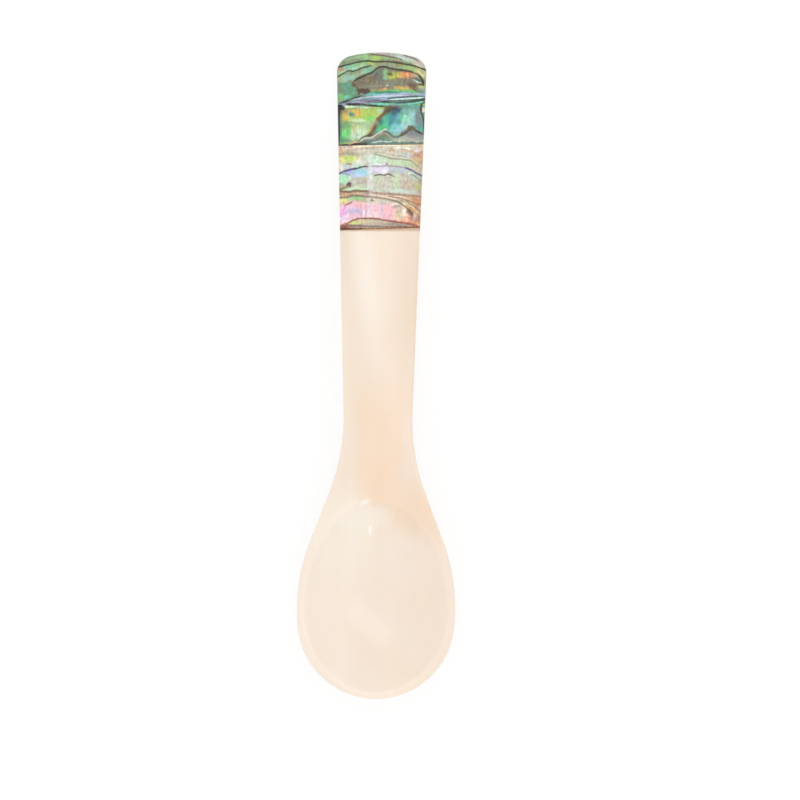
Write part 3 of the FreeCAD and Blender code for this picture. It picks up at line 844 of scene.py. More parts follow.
BRAID_TOP = [
    (334, 104.2), (340, 102), (346, 100.4), (352.6, 98.8), (358.9, 97), (364, 95.3), (369.5, 93.6),
    (377, 92.4), (386, 91.9), (397.6, 92.4), (413, 92), (427, 92.4),
]
BRAID = (
    Fill(BRAID_TOP, STEEL),
    vein(BRAID_TOP, 1.36, VIRIDIAN, soft=0.12),
    Patch(378, 96, 14, 1.6, PERIWINKLE, 0.9),
    Patch(372, 94.4, 8, 1, CYAN, 0.9),
    Patch(408, 94.3, 15, 1, PERIWINKLE, 0.9),
    Patch(347, 101.5, 8, 1, PALE_BLUE, 0.9, tilt=-12),
    Patch(364, 96.6, 6, 2, TEAL_GREY, 0.9, tilt=-12),
    Patch(374, 95.4, 7, 1.4, CYAN, 0.7),
    Patch(391, 95.6, 9, 1.2, SKY, 0.8),
    Patch(415, 95.4, 9, 1.2, TEAL_GREY, 0.85),
    Patch(412, 92.2, 9, 1.4, GREEN, 0.6),
    Patch(367, 97.6, 7, 1.2, TEAL_GREY, 0.6, tilt=-8),
    Patch(371, 101.4, 9, 1.6, SPRUCE, 0.6, tilt=-5),
    Patch(422, 96.6, 5, 2, MIST, 0.6),
    Line([(338, 103.5), (345, 101.5), (352.6, 98.9), (358.9, 96.8), (362, 95.4)], 1.2, INK, halo=0.5),
    vein([(358, 101), (366, 101.5), (376, 100.3), (384, 99.8)], 0.99, AUBERGINE, 0.8),
    Patch(360, 102.6, 7, 0.8, HEATHER, 0.9),
    Fill([(346, 104.5), (356, 103.4), (366, 103.6), (377, 101.8), (387, 100.2), (400, 99.6), (413, 98.6),
          (426, 97.6)], DARK_GREEN, between=((347, 100), (430, 100))),
    Line([(386, 98.5), (394, 98), (400.8, 97.4), (413.3, 96.7), (426, 96.4)], 1.0, INK, 0.8, taper=0.15,
          halo=0.5),
    Line([(388, 99.6), (400, 98.9), (412, 98), (425, 97.2)], 1.3, ICE, taper=0.2),
    Line([(388, 101.6), (400, 101.4), (412, 100.2)], 0.9, TEAL_GREY, 0.8),
    Line([(362, 104.4), (367.6, 104.3), (378.9, 103.9), (388.3, 104.3), (400.8, 104.7), (410, 103.8),
          (418, 102.6), (427, 100.4)], 2.2, AQUAMARINE, soft=0.12),
    Line([(344, 103.8), (353.9, 103.9), (360, 104.3), (366.4, 105.1), (374, 105.4), (380, 105.9)], 1.6, INK,
          halo=0.5),
    Line([(350, 99.8), (365, 97.2), (385, 95.8), (410, 95)], 0.5, SNOW, 0.8),
    Line([(356, 100.4), (372, 98.6), (392, 97)], 0.5, TEAL_GREY, 0.8),
    Line([(343, 102.6), (356, 100.8), (370, 99.4)], 0.5, DEEP_TEAL, 0.7),
)

# Two cells, lime and teal, and the brown band between them

CELLS_TOP = [
    (334, 104.5), (343, 105.3), (352, 105.6), (366, 106.2), (376, 106.8), (387, 107.2), (396, 107),
    (407, 105.8), (418, 104.4), (427, 102.8),
]
CELL_DIVIDE = [
    (392, 106), (389.5, 109.5), (386, 113.8), (381.5, 117.3), (378.6, 121), (376.6, 127), (374, 132.5),
    (371, 136.5),
]
CELLS = (
    Fill(CELLS_TOP, LIME),
    Patch(352, 112, 12, 4, AMBER),
    Patch(366, 114, 9, 6, LIME),
    Patch(371, 118.5, 6, 3, BRIGHT_GREEN, 0.8),
    Patch(345, 117, 3.5, 4, AMBER, 0.8),
    Patch(357, 113, 4, 2.6, AMBER, 0.8),
    Patch(352, 108, 12, 1.6, OCHRE, 0.8),
    Patch(351, 113.6, 3, 2.8, TEAL, edge=0.4),
    Patch(346, 111, 3, 3, FERN, 0.7),
    Patch(341.6, 111.5, 2.4, 4, WALNUT, 0.8),
    Patch(351.8, 114, 1, 0.8, PALE_AQUA, 0.9),
    Patch(346, 124.5, 5, 3, LEAF, 0.9),
    Patch(359, 121.4, 8, 2.2, FROST, 0.8, tilt=8),
    Patch(359, 125, 10, 1.6, PALE_SAGE, 0.8, tilt=10),
    Patch(346, 133, 7, 8, BRIGHT_GREEN),
    Patch(342, 140.5, 5, 4, VIRIDIAN, 0.9),
    Patch(360, 132.5, 8, 4.8, FROST),
    Patch(353.5, 130, 2, 6, SAND, 0.8),
    Patch(356, 137, 7, 2.6, ICE, 0.8),
    Patch(349, 142, 6, 2.2, MIST, 0.9),
    Patch(368, 125.5, 4, 2, AQUAMARINE, 0.7, tilt=-40),
    Patch(381.5, 110.6, 4, 2, PALE_AQUA, 0.9),
    Fill(CELL_DIVIDE, SEA_GREEN, upright=True, between=((385, 104.5), (385, 150))),
    Patch(394, 109.4, 9, 3.4, SHADOW, edge=0.4),
    Patch(395, 113.4, 7, 3, BLUE),
    Patch(398, 118, 3, 5, CYAN, 0.8),
    Patch(399.5, 111, 3, 1.6, NAVY, 0.8),
    Patch(384, 126, 6, 6, EMERALD),
    Patch(380, 120.5, 3.4, 3, DEEP_TEAL, 0.85),
    Patch(394, 121, 7, 7, PETROL, 0.95),
    Patch(399.5, 122, 1.6, 7, PETROL, 0.6),
    Patch(407, 121, 5, 6, PALE_CYAN, 0.8),
    Patch(404, 115.5, 3, 6, SPRING_GREEN, 0.95),
    Patch(410, 113, 6, 6, CYAN, 0.9),
    Patch(413, 117, 4, 7, PALE_CYAN, 0.8),
    Patch(388, 127.5, 9, 4, SPRING_GREEN, 0.4),
    Patch(401, 128.6, 11, 3.6, SKY, 0.95, tilt=-14),
    Patch(391, 128.5, 5, 2, CYAN, 0.8),
    Patch(419, 118, 3.4, 10, SLATE, 0.95),
    Patch(408, 107.4, 9, 2.2, TEAL_GREY, 0.85),
    Patch(423, 110, 1.6, 3, CREAM, 0.9, edge=0.3),
    vein([(389, 107), (386.6, 110.8), (384, 114), (379.5, 117.2), (376.4, 121.4), (374.6, 127),
          (371.8, 132), (369.2, 135.6)], 4, BROWN, 0.95, upright=True, soft=0.35, taper=0.1),
    streak([(383, 109), (380.5, 113.5), (376.4, 117), (373.4, 121), (371.4, 126.5), (368.6, 132),
            (366, 135.5)], 1.2, STRAW, 0.6, soft=0.3),
    Line([(341, 107.1), (349, 106.7), (357, 106.8), (365, 107.2), (372, 107.8)], 1.5, FROST),
    Line([(360, 109), (370, 109), (378, 108.6), (385, 108.4)], 1, PISTACHIO, 0.7),
    Patch(387, 108.4, 3.5, 1.6, OLIVE, 0.9),
    streak([(404, 109), (400, 115), (396, 121), (393, 128)], 1.8, PALE_CYAN, 0.3, soft=0.6),
    streak([(408, 110), (405, 116), (402, 122), (400, 130)], 2.2, ICE, 0.35, soft=0.6),
    streak([(398, 110), (394, 117), (390, 124), (388, 130)], 1.6, BLUE, 0.35, soft=0.6),
    streak([(391, 112), (387, 119), (384, 127)], 1.6, SPRING_GREEN, 0.35, soft=0.6),
    streak([(412, 108), (411, 114), (409, 120), (407, 127)], 1.8, PALE_AQUA, 0.4, soft=0.6),
    streak([(416, 110), (415.5, 118), (414, 126)], 1.4, SLATE, 0.4, soft=0.5),
    Line([(352, 141), (358, 136), (364, 130), (370, 123)], 2.2, MINT, 0.5, soft=0.5),
    Line([(344, 121), (352, 122.5), (360, 123), (368, 121.5)], 1.1, SAGE, 0.7, soft=0.2),
    streak([(354.6, 128), (354.8, 134), (354.4, 141)], 0.5, BUFF, 0.8),
    streak([(357.4, 130), (357, 136), (356.6, 141)], 0.5, OLIVE, 0.5),
    Patch(391, 111.5, 5, 2.6, SHADOW, 0.5),
    Patch(391, 116.5, 4, 2.6, PETROL, 0.7),
    Patch(407, 111.5, 5, 2.4, TEAL_GREY, 0.5),
    Patch(343, 126, 3, 3.4, FERN, 0.7),
    Patch(366, 126, 6, 3, PALE_SAGE, 0.6),
    Patch(361, 107, 9, 1.4, TEAL_GREY, 0.6),
    Patch(394, 106.4, 8, 1.3, MIST, 0.6),
    Patch(374, 121.6, 3.4, 2.4, PALE_SAGE, 0.6),
    Patch(398, 126.8, 4.4, 2.2, CYAN, 0.6),
    Patch(406.5, 126.8, 4, 2.4, PALE_AQUA, 0.7),
    Patch(359, 131, 5, 2.6, FROST, 0.6),
    streak([(348, 126), (348.4, 133), (348, 140)], 0.8, VIRIDIAN, 0.45, soft=0.25),
    streak([(351.6, 129), (351.8, 135), (351.4, 141)], 0.7, PALE_GREEN, 0.5, soft=0.25),
    streak([(362, 127), (362, 133), (361.6, 138)], 0.7, SAGE, 0.5, soft=0.25),
    streak([(387, 113), (386, 119), (384.6, 127)], 0.8, EMERALD, 0.5, soft=0.25),
    streak([(403, 110), (401.6, 117), (399.6, 126)], 0.8, PETROL, 0.45, soft=0.25),
    streak([(410.4, 109), (409.6, 116), (408, 124)], 0.8, ICE, 0.5, soft=0.25),
)

# Dark strip at the left, and the brown line at the right

LEFT_STRIP = [
    (342.5, 103.5), (341.8, 108), (340.4, 112), (340.2, 120), (340.4, 130), (340, 138), (339.5, 147),
]
CELL_SIDES = (
    Fill(LEFT_STRIP, SHADOW, upright=True, flip=True, between=((340, 104.5), (340, 150))),
    Patch(341, 108, 4, 3, INK, 0.95, edge=0.3),
    vein([(341.2, 112), (341, 120), (341.2, 130), (341, 138)], 0.74, TEAL, 0.8, upright=True),
    vein([(422.4, 102.5), (421, 107), (421.2, 111), (422.4, 115), (423.6, 120), (423.6, 128), (424, 134)],
          1.24, DARK_BROWN, upright=True, taper=0.1),
)

# Zigzag, and the grey green foot below it

ZIGZAG_LINE = [
    (350, 144.5), (355, 142.2), (358.9, 139.8), (363.3, 137), (368.9, 135.3), (374, 134), (379, 131.8),
    (383, 129.6), (386.4, 129), (389, 131.5), (391.5, 135.2), (394.5, 136.8), (399.5, 135.9),
    (405.8, 132.6), (409.5, 128.9), (412, 127), (415, 129.5), (419.5, 132), (426, 134.8),
]
ZIGZAG = (
    Fill(ZIGZAG_LINE, SPRUCE, between=((350, 130), (430, 130))),
    Patch(372, 139, 12, 3.4, SPRUCE, 0.8, tilt=-16),
    Patch(384, 138, 5, 4, LEAF, 0.85),
    Patch(406, 137, 14, 3.4, SILVER, 0.85),
    Patch(413, 134, 8, 3.4, SLATE, 0.85),
    Patch(399, 140.6, 10, 1.8, CELADON, 0.85),
    Patch(417, 141, 8, 1.8, SILVER, 0.9),
    Patch(406, 142.8, 18, 0.8, FOREST, 0.8),
    Patch(366, 144, 10, 1.2, FOREST, 0.85),
    vein([(384, 129.2), (390, 134), (394.5, 137), (399.5, 136), (405.8, 132.8), (409.5, 129)], 1.4, FOREST,
          0.8, soft=0.2, taper=0.1),
    vein([(398, 136.4), (405.8, 132.8), (409.5, 129), (412, 127.2), (415, 129.6), (419.5, 132.2),
          (426, 135)], 1.6, DARK_BROWN, soft=0.12, taper=0.3),
    Line([(400, 134), (405, 131.2), (409, 128.4), (412, 127)], 2, BROWN, 0.6, soft=0.4, taper=0.2,
          halo=0.4),
    Patch(411.6, 127.8, 4, 2.2, BROWN, 0.9, edge=0.4),
    vein([(356, 142.6), (363.3, 137.4), (368.9, 135.5), (375, 134.2), (381, 131.2)], 0.99, DARK_BROWN, 0.9),
    Line([(357, 143), (361, 140), (365, 138.4), (369.5, 138.2), (375.8, 134.8), (381, 131.6),
          (385.6, 129.4), (388.5, 130.8)], 1.3, PEARL, 0.95, soft=0.2),
    Line([(372, 139.8), (378, 136.4), (382, 133.4), (385, 133.2), (390, 136.2), (393, 138.6)], 0.9, TAN,
          0.8),
    Patch(374, 141.4, 7, 1.6, SLATE, 0.5),
    Patch(390, 141.2, 6, 1.6, SPRUCE, 0.5),
    Patch(422, 136.6, 4, 3, MIST, 0.6),
    Patch(349, 141.6, 5, 1.6, MIST, 0.6),
    Line([(371, 143), (376, 142), (382, 141.2), (388, 141.8), (394, 141.4)], 0.9, ICE, 0.9),
    vein([(338, 145.6), (345, 145.2), (352, 144.8), (360, 144.2), (368, 144.2)], 1.49, UMBER, taper=0.12),
    Line([(349, 144.6), (353, 142.6), (358, 142.2)], 1, APRICOT, 0.8),
)

# Outline of the island, and the long lines

DARK_LINES = (
    vein(FIRST_LINE, 0.96, DARK_OLIVE, taper=0.02),
    vein([(334, 77.8), (338, 76.2), (343.3, 73.3), (348.9, 70.4), (352.6, 70.8), (358.3, 69.3),
          (363.3, 67.4), (368.3, 66.1), (372, 65.4)], 0.74, DARK_OLIVE, 0.9, taper=0.12),
    vein([(369, 53.6), (375.8, 54.2), (387, 55.8), (397.6, 58), (404, 60)], 0.81, WALNUT),
    vein([(403, 54.6), (408, 56), (413.3, 58), (419.5, 61)], 0.56, WALNUT, 0.9),
    vein(ISLAND_OUTLINE[2:14], 1.24, DARK_OLIVE, 0.95, soft=0.09, taper=0.05),
    vein([(413.5, 72.2), (417.4, 74), (420.4, 76.6), (422.3, 79.6), (423.2, 83), (423.4, 86)], 1.43,
          DARK_OLIVE, 0.9, upright=True, taper=0.1),
    vein([(354, 81), (352.8, 83), (354.4, 85.2), (357, 88), (358.8, 91.6), (358, 95.5)], 1.61, BROWN,
          upright=True, soft=0.1, taper=0.12),
    vein([(414, 83.6), (413.2, 86.5), (414.4, 89.4), (417.4, 91.2), (421, 92.4)], 1.49, BROWN, upright=True,
          taper=0.15),
    vein([(414.5, 85), (419, 84.6), (424, 85)], 1.12, BROWN, 0.9),
    Patch(363.4, 91.8, 6, 3.2, DARK_BROWN, 0.85, edge=0.3),
    Patch(353.4, 84.2, 1.8, 2.4, BROWN, 0.7, edge=0.4),
)

# Pale tile: top layer, down to the violet line

PALE_TOP_LAYER = (
    Patch(345, 149, 14, 2.4, BUFF, 0.9),
    Patch(340.5, 153, 4, 5, TAN, 0.9),
    Patch(352, 153, 9, 2.4, DRAB, 0.85),
    Patch(347, 159.5, 10, 3.6, PALE_LIME, 0.95),
    Patch(350, 158, 4, 2, LIME, 0.8),
    Patch(357, 158, 4, 3, STRAW, 0.95),
    Patch(341.5, 161, 3, 2.5, YELLOW, 0.9),
    Patch(347, 167, 6, 2, PALE_BLUE, 0.85),
    Patch(356, 165, 5, 3, STONE, 0.8),
    Patch(368, 157, 9, 8, STONE, 0.9),
    Patch(381, 158, 9, 5.5, CELADON, 0.85),
    Patch(380, 150.5, 10, 3, STONE, 0.8),
    Patch(402, 163, 14, 3, CELADON, 0.95, tilt=6),
    Patch(404, 155, 9, 2.4, SILVER, 0.9),
    Patch(407, 156.2, 4, 1.2, PALE_BLUE, 0.7),
    Patch(419, 159, 6.5, 8, TAN, 0.95),
    Patch(412, 150.5, 9, 1.8, TAN, 0.8),
    Patch(411, 164, 8, 3.6, PALE_SAGE, 0.7, tilt=14),
    Patch(374, 160, 8, 5, ICE, 0.6),
    Patch(359, 161.6, 5, 3, IVORY, 0.75),
    Patch(358, 165.6, 6, 1.6, ICE, 0.7),
    # Painted highlights: three small white spots near the tile's top edge.
    Patch(397, 148.2, 3.6, 1.2, IVORY, 0.9),
    Patch(408, 148.4, 4, 0.9, IVORY, 0.8),
    Patch(418, 150.4, 2.6, 1.2, SNOW, 0.95),
    Patch(391, 150.2, 3.4, 1.6, TAN, 0.9),
    Patch(388.5, 152.6, 2.5, 1.2, CREAM, 0.9),
    Patch(380, 164.4, 6.5, 1.4, SNOW, 0.9),
    Patch(340.5, 168, 2.4, 2, CREAM, 0.9),
    Patch(339.3, 169.2, 1.4, 1.2, RUST, 0.7),
    Patch(353, 146.8, 8, 1.2, MUSHROOM, 0.7),
    Patch(366, 161.4, 4, 2.6, SILVER, 0.5),
    Line([(340, 150.6), (352, 149.6), (366, 149), (380, 149.4)], 0.5, CLAY, 0.6),
    Line([(372, 152), (384, 153), (396, 155.6), (408, 157)], 0.6, MUSHROOM, 0.7),
)

# Blue and grey layer

VIOLET_LINE = [
    (334, 176), (338.6, 173.9), (344.5, 171.1), (350.8, 169.5), (357, 168.3), (363.3, 166.7),
    (369.5, 166.4), (375.8, 166.1), (386.4, 165.6), (394.5, 166.2), (400.8, 167), (407, 168.4),
    (413.3, 171.1), (422, 176.1), (427, 179),
]
BLUE_LAYER = (
    Fill(VIOLET_LINE, SILVER),
    Patch(347, 173.3, 9, 2.4, LAVENDER, 0.95, tilt=-8),
    Patch(361, 172.5, 10, 4.2, SKY, 0.95),
    Patch(356, 175, 6, 2.4, PERIWINKLE, 0.85),
    Patch(343, 179.5, 6.5, 5.5, PALE_GREEN, 0.9),
    Patch(351, 181, 4, 3, BEIGE, 0.6),
    Patch(340.5, 187, 4.5, 2.6, MUSHROOM, 0.8),
    Patch(360, 183, 9, 4.5, SILVER, 0.9),
    Patch(363, 182, 5, 4, MUSHROOM, 0.7),
    Patch(356, 189.2, 15, 1.6, MINT, 0.85),
    Patch(360, 186.4, 8, 1.6, CELADON, 0.7),
    Patch(380, 170, 10, 3.4, PALE_LILAC, 0.95),
    Patch(385, 172.6, 3, 1.8, WHITE, 0.8),
    Patch(398, 170.5, 8, 3, PALE_BLUE, 0.85),
    Patch(384, 182, 12, 7, STONE, 0.8),
    Patch(375, 179, 4, 4, CELADON, 0.7),
    Patch(397, 181, 3.5, 8, CELADON, 0.85),
    Patch(409, 183, 9, 7.5, BEIGE, 0.9),
    Patch(404, 178, 4, 3, SILVER, 0.7),
    Patch(416, 176.5, 7, 2.6, PALE_AQUA, 0.9, tilt=24),
    Patch(419, 186.5, 3.6, 4.5, PISTACHIO, 0.9),
    Patch(410, 173.6, 1.8, 1.2, IVORY, 0.9),
    Patch(404, 191.5, 14, 2, ICE, 0.4, tilt=6),
    Patch(350, 171.6, 4, 1.6, STEEL, 0.6),
    Patch(343, 186.4, 4, 2, DRAB, 0.6),
)

# Tan and green layer

UPPER_BROWN_LINE = [
    (334, 192), (339.5, 191.6), (349.5, 191.9), (357, 190.8), (362, 191), (369.5, 191.9), (374.5, 192.9),
    (385, 194.3), (397.6, 194.6), (410, 195.8), (427, 197),
]
TAN_LAYER = (
    Fill(UPPER_BROWN_LINE, BUFF),
    Patch(350, 194.2, 13, 1.8, TAN, 0.95),
    Patch(378, 197, 20, 2.6, CREAM, 0.95),
    Patch(414, 199, 8, 3, TAN, 0.9),
    Patch(417, 204, 6, 4, RUST, 0.95),
    Patch(343, 201, 5, 2.6, YELLOW, 0.95),
    Patch(357, 199, 9, 2.4, FRESH_GREEN, 0.95),
    Patch(384, 202, 12, 2.6, STONE, 0.9),
    Patch(395, 203.6, 4, 1.2, IVORY, 0.8),
    Patch(409, 205, 7, 4, SAND, 0.9, tilt=25),
    Patch(366, 195.5, 5, 3, MUSHROOM, 0.6),
    Patch(364, 201.4, 8, 2, MUSHROOM, 0.7),
    Patch(366, 192.5, 5, 1.6, TAUPE, 0.6),
    Patch(376, 192.6, 5, 1, PEARL, 0.6),
)

# Rose layer

ROSE_TOP = [
    (334, 205), (340, 205), (346.4, 204), (353, 201.6), (360, 203.6), (367, 203.4), (374, 203.6),
    (385, 204.6), (395, 206), (402, 208), (408, 210.5), (415, 215), (427, 219),
]
ROSE_LAYER = (
    Fill(ROSE_TOP, PINK, soft=0.15),
    Patch(358, 205.5, 9, 2.6, ROSE, 0.9),
    Patch(343, 211, 4, 5, BRIGHT_PINK, 0.95),
    Patch(350, 211.5, 4, 5, LILAC, 0.9),
    Patch(357, 212, 6, 3.4, LILAC, 0.85),
    Patch(345, 219, 7, 3.4, PALE_LILAC, 0.9),
    Patch(352, 217, 6, 2, ROSE, 0.7, tilt=-25),
    Patch(376, 211, 5, 6, PINK, 0.9),
    Patch(382, 211, 1.8, 6, LILAC, 0.7),
    Patch(390, 210, 6, 6, ROSE, 0.95),
    Patch(386, 217, 8, 2, ROSE, 0.8),
    Patch(400, 213, 4, 5, BEIGE, 0.9),
    Patch(396.5, 205.6, 3, 1.2, WALNUT, 0.8, tilt=15),
    # Painted highlight: a narrow cream-white wedge.
    Patch(404.5, 212, 1.8, 5, CREAM, 0.95, tilt=-12),
    Patch(414, 210, 5, 6, CLAY, 0.8),
    Patch(410, 217.5, 4.4, 5, SALMON, 0.95, tilt=-20),
    Patch(410, 212, 2.4, 4.4, BROWN, 0.9, tilt=-24),
    Patch(414.6, 216, 1.8, 2.6, SNOW, 0.9, tilt=-25),
    Patch(418.5, 217, 3, 4.5, CHESTNUT, 0.85),
    Patch(403, 220, 7, 2, APRICOT, 0.85),
    Patch(417, 223.5, 6, 2.4, ORANGE, 0.95),
    streak([(361, 204), (361.2, 210), (361, 217)], 0.9, HEATHER, 0.7),
    streak([(363.6, 203), (363.8, 210), (363.6, 218)], 0.9, SNOW, 0.8),
    streak([(366, 203), (366.2, 210), (366, 218)], 0.8, HEATHER, 0.7),
    streak([(368.4, 203), (368.4, 210), (368.2, 218)], 0.9, SNOW, 0.8),
    Patch(366, 207, 5, 2.6, ROSE, 0.6),
    Patch(374, 216, 8, 2.4, PALE_PINK, 0.7),
    Patch(398, 216.5, 5, 3.4, SAND, 0.6),
    Patch(415, 218.5, 5, 5, CHESTNUT, 0.55, tilt=-20),
    Patch(397, 207.6, 5, 1.8, MUSHROOM, 0.7),
)

# Darker right edge: painted shade

PALE_RIGHT_SHADE = (
    Patch(424, 196, 7, 52, CLAY, 0.5),
    Patch(424, 174, 6, 12, MUSHROOM, 0.5),
)

# Lens at the pale tile's lower edge, and its brown foot

LENS_TOP = [
    (334, 229), (341, 227.4), (346, 224.8), (348.9, 222.9), (353.9, 220.1), (358.9, 218.6), (364.5, 218.4),
    (375.8, 218.8), (385, 220.4), (394.5, 221.9), (403.9, 223.2), (413.3, 224.8), (421, 227.4), (427, 229),
]
FOOT_TOP = [
    (334, 225.5), (342, 225), (349.5, 225.3), (357, 225.8), (369.5, 226.5), (385, 226.7), (400.8, 226.7),
    (413.3, 227.2), (427, 228),
]
LENS_AND_FOOT = (
    Fill(LENS_TOP, BEIGE),
    Patch(353, 223, 6, 2, PALE_LIME, 0.95, tilt=-12),
    Patch(364, 221.4, 7, 2, SAND, 0.9),
    Patch(378, 222.6, 9, 2, BEIGE, 0.85),
    Patch(399, 224.4, 12, 1.6, TAUPE, 0.85),
    Line([(336, 226.6), (341, 225.6), (346, 223.4), (350, 221.2), (354.5, 219)], 1.6, SALMON, 0.7),
    Line([(385, 219.6), (394.5, 221.2), (403.9, 222.4), (413.3, 223.9), (420, 226)], 1.3, SALMON, 0.85),
    Fill(FOOT_TOP, CLAY),
    Patch(344, 227.4, 7, 2.4, RUSSET, 0.85),
    Patch(371, 227.4, 17, 1.6, BEIGE),
    Patch(414, 227.4, 8, 1, RUST, 0.9),
)

# Long lines of the pale tile, with a painted reflection streak down it

PALE_LINES = (
    vein([(345.5, 165), (348, 163.8), (352.2, 164.2)], 0.62, SPRUCE, 0.85),
    vein([(372, 153.9), (378.9, 155.1), (385, 156.7), (391.4, 158.6), (400.8, 159.2), (408.3, 160.1),
          (412.6, 162), (416.4, 165.1), (419, 168)], 0.56, KHAKI, 0.8, taper=0.15),
    Line([(360, 148.6), (368, 148), (376, 147.6), (386, 146.8)], 0.7, CLAY, 0.6),
    vein([(338, 173.9), (344.5, 171.1), (350.8, 169.5), (356, 168.5)], 1.24, DUSK, soft=0.09, taper=0.15),
    vein([(344, 171.6), (350.8, 169.8), (358, 168.4)], 0.9, VIOLET, 0.6, soft=0.2, taper=0.15),
    vein([(352, 169.2), (357, 168.3), (363.3, 166.7), (369, 166.4)], 0.87, DARK_GREEN, taper=0.2),
    Line([(366, 166.5), (375.8, 166.1), (386.4, 165.6), (394.5, 166.2), (400.8, 167), (407, 168.4),
          (411, 169.8)], 1.1, DUSK, 0.5, taper=0.1),
    vein([(405, 167.9), (409, 169), (413.3, 171.1), (418, 173.8), (427, 178.6)], 0.99, DUSK, taper=0.15),
    vein([(386.4, 162.4), (387.2, 164.8)], 0.62, AUBERGINE, 0.9, upright=True),
    Line([(341, 174.4), (344.5, 173.8), (349.5, 174.6), (352, 178)], 0.9, MIST, 0.8),
    vein([(373, 175.9), (379.5, 174.8), (385, 175.2), (387.6, 174), (391.4, 175.4), (395, 177)], 0.74,
          SHADOW, 0.85, taper=0.3),
    Line([(384, 176.4), (388, 180), (393, 182.4)], 0.7, GREY, 0.6),
    vein([(409, 174), (415.8, 177), (421.4, 183), (424, 187)], 0.62, TAUPE, 0.85),
    Patch(337, 190, 5, 2.4, BROWN, 0.7),
    Patch(349.8, 184.5, 3, 2.6, PLUM, edge=0.4),
    vein([(338.5, 191), (344.5, 187.6), (349, 185.4)], 0.81, OLIVE, 0.9),
    vein([(344, 188.6), (347, 187), (349.5, 186)], 1.24, MOSS, 0.7),
    # Painted reflection: a faint white streak down the tile.
    streak([(370, 166.6), (370.4, 176), (370.2, 190)], 1.6, WHITE, 0.35, soft=0.6),
    Line(UPPER_BROWN_LINE, 0.9, CHESTNUT, 0.6, soft=0.3, taper=0.02, halo=0.4),
    vein(UPPER_BROWN_LINE[:6], 0.9, OLIVE, 0.5, soft=0.2, taper=0.2),
    Line([(336, 198.4), (340, 197.9), (346.4, 197.3), (353.3, 195.7), (360, 196), (369.5, 196.9),
          (377, 197.7), (387, 199.2), (394.5, 200.8), (399.5, 202.6), (403.3, 205.2), (407, 208),
          (410, 211), (413, 215)], 0.9, DARK_BROWN, 0.65, soft=0.3, taper=0.06, halo=0.4),
    vein([(385.8, 196.3), (394.5, 197.3), (400.8, 198.6), (410, 201.3), (419.5, 204.6), (425, 206.6)], 0.62,
          CHESTNUT, 0.9),
    Line([(404, 205.6), (408, 207.4), (413.3, 209.9), (420, 213.6), (424, 216)], 1.2, COPPER, 0.9),
    vein([(344.5, 205.8), (347, 204.4), (350, 203.4), (353, 201.6)], 0.74, RUSSET, 0.7),
    Patch(372, 199.4, 2, 1, WALNUT, 0.8, edge=0.3),
    vein(LENS_TOP[2:], 0.93, CHESTNUT, taper=0.04),
    Line([(348, 225.3), (357, 225.8), (369.5, 226.5), (385, 226.7), (400.8, 226.7), (413.3, 227.2),
          (422, 227.8)], 0.9, SHADOW, 0.5, soft=0.2, taper=0.08, halo=0.3),
    vein([(334, 229.6), (341, 229.4), (352, 229.4), (362, 229), (375.8, 228.9), (387, 228.5), (400, 228),
          (412, 227.8), (427, 227.6)], 0.74, RUSSET, taper=0.02),
    vein([(338, 229), (346, 228.9), (358, 228.9), (364, 228.8)], 1, UMBER, 0.5, soft=0.3, taper=0.2),
    Line([(352, 146.4), (366, 145.9), (385, 145.5), (405, 145), (427, 144.2)], 1.3, PEACH, 0.95,
          taper=0.02),
    Line([(390, 144.4), (405, 144.6), (420, 144.2), (428, 144)], 0.8, COPPER, 0.7),
    # Painted reflection: a longer faint white streak down the tile.
    streak([(369.6, 150), (370, 180), (369.6, 217)], 2.4, SNOW, 0.22, soft=0.6),
    Line([(398, 199.6), (408, 203), (416, 208), (424, 214)], 0.9, WALNUT, 0.7),
    Line([(402, 201), (411, 206), (418, 212.5), (423, 219)], 0.8, BUFF, 0.7),
)


# Materials


def dark_abalone():
    """The tile at the handle's end: green and teal cells between dark growth lines, and one painted glint.
    """
    sheet = Sheet("dark abalone", SAGE, waver=0.22, streak=0.35, roam=1.1)
    sheet.draw(DARK_TOP_LAYER, DARK_SECOND_LAYER, ISLAND, BRAID, CELLS, CELL_SIDES, ZIGZAG, DARK_LINES)
    return finish_tile(sheet, depth=0.45, flecks=0.09, lift=0.91, rich=0.96)


def pale_abalone():
    """The tile below it: pale layers of silver green, blue and rose between finer growth lines, with a
    painted reflection streak down it, painted highlights and painted shade at its right edge.
    """
    sheet = Sheet("pale abalone", STONE, waver=0.2, streak=0.4, roam=1.1)
    sheet.draw(PALE_TOP_LAYER, BLUE_LAYER, TAN_LAYER, ROSE_LAYER, PALE_RIGHT_SHADE, LENS_AND_FOOT, PALE_LINES)
    return finish_tile(sheet, depth=0.26, flecks=0.07, lift=1.05, rich=1.02)


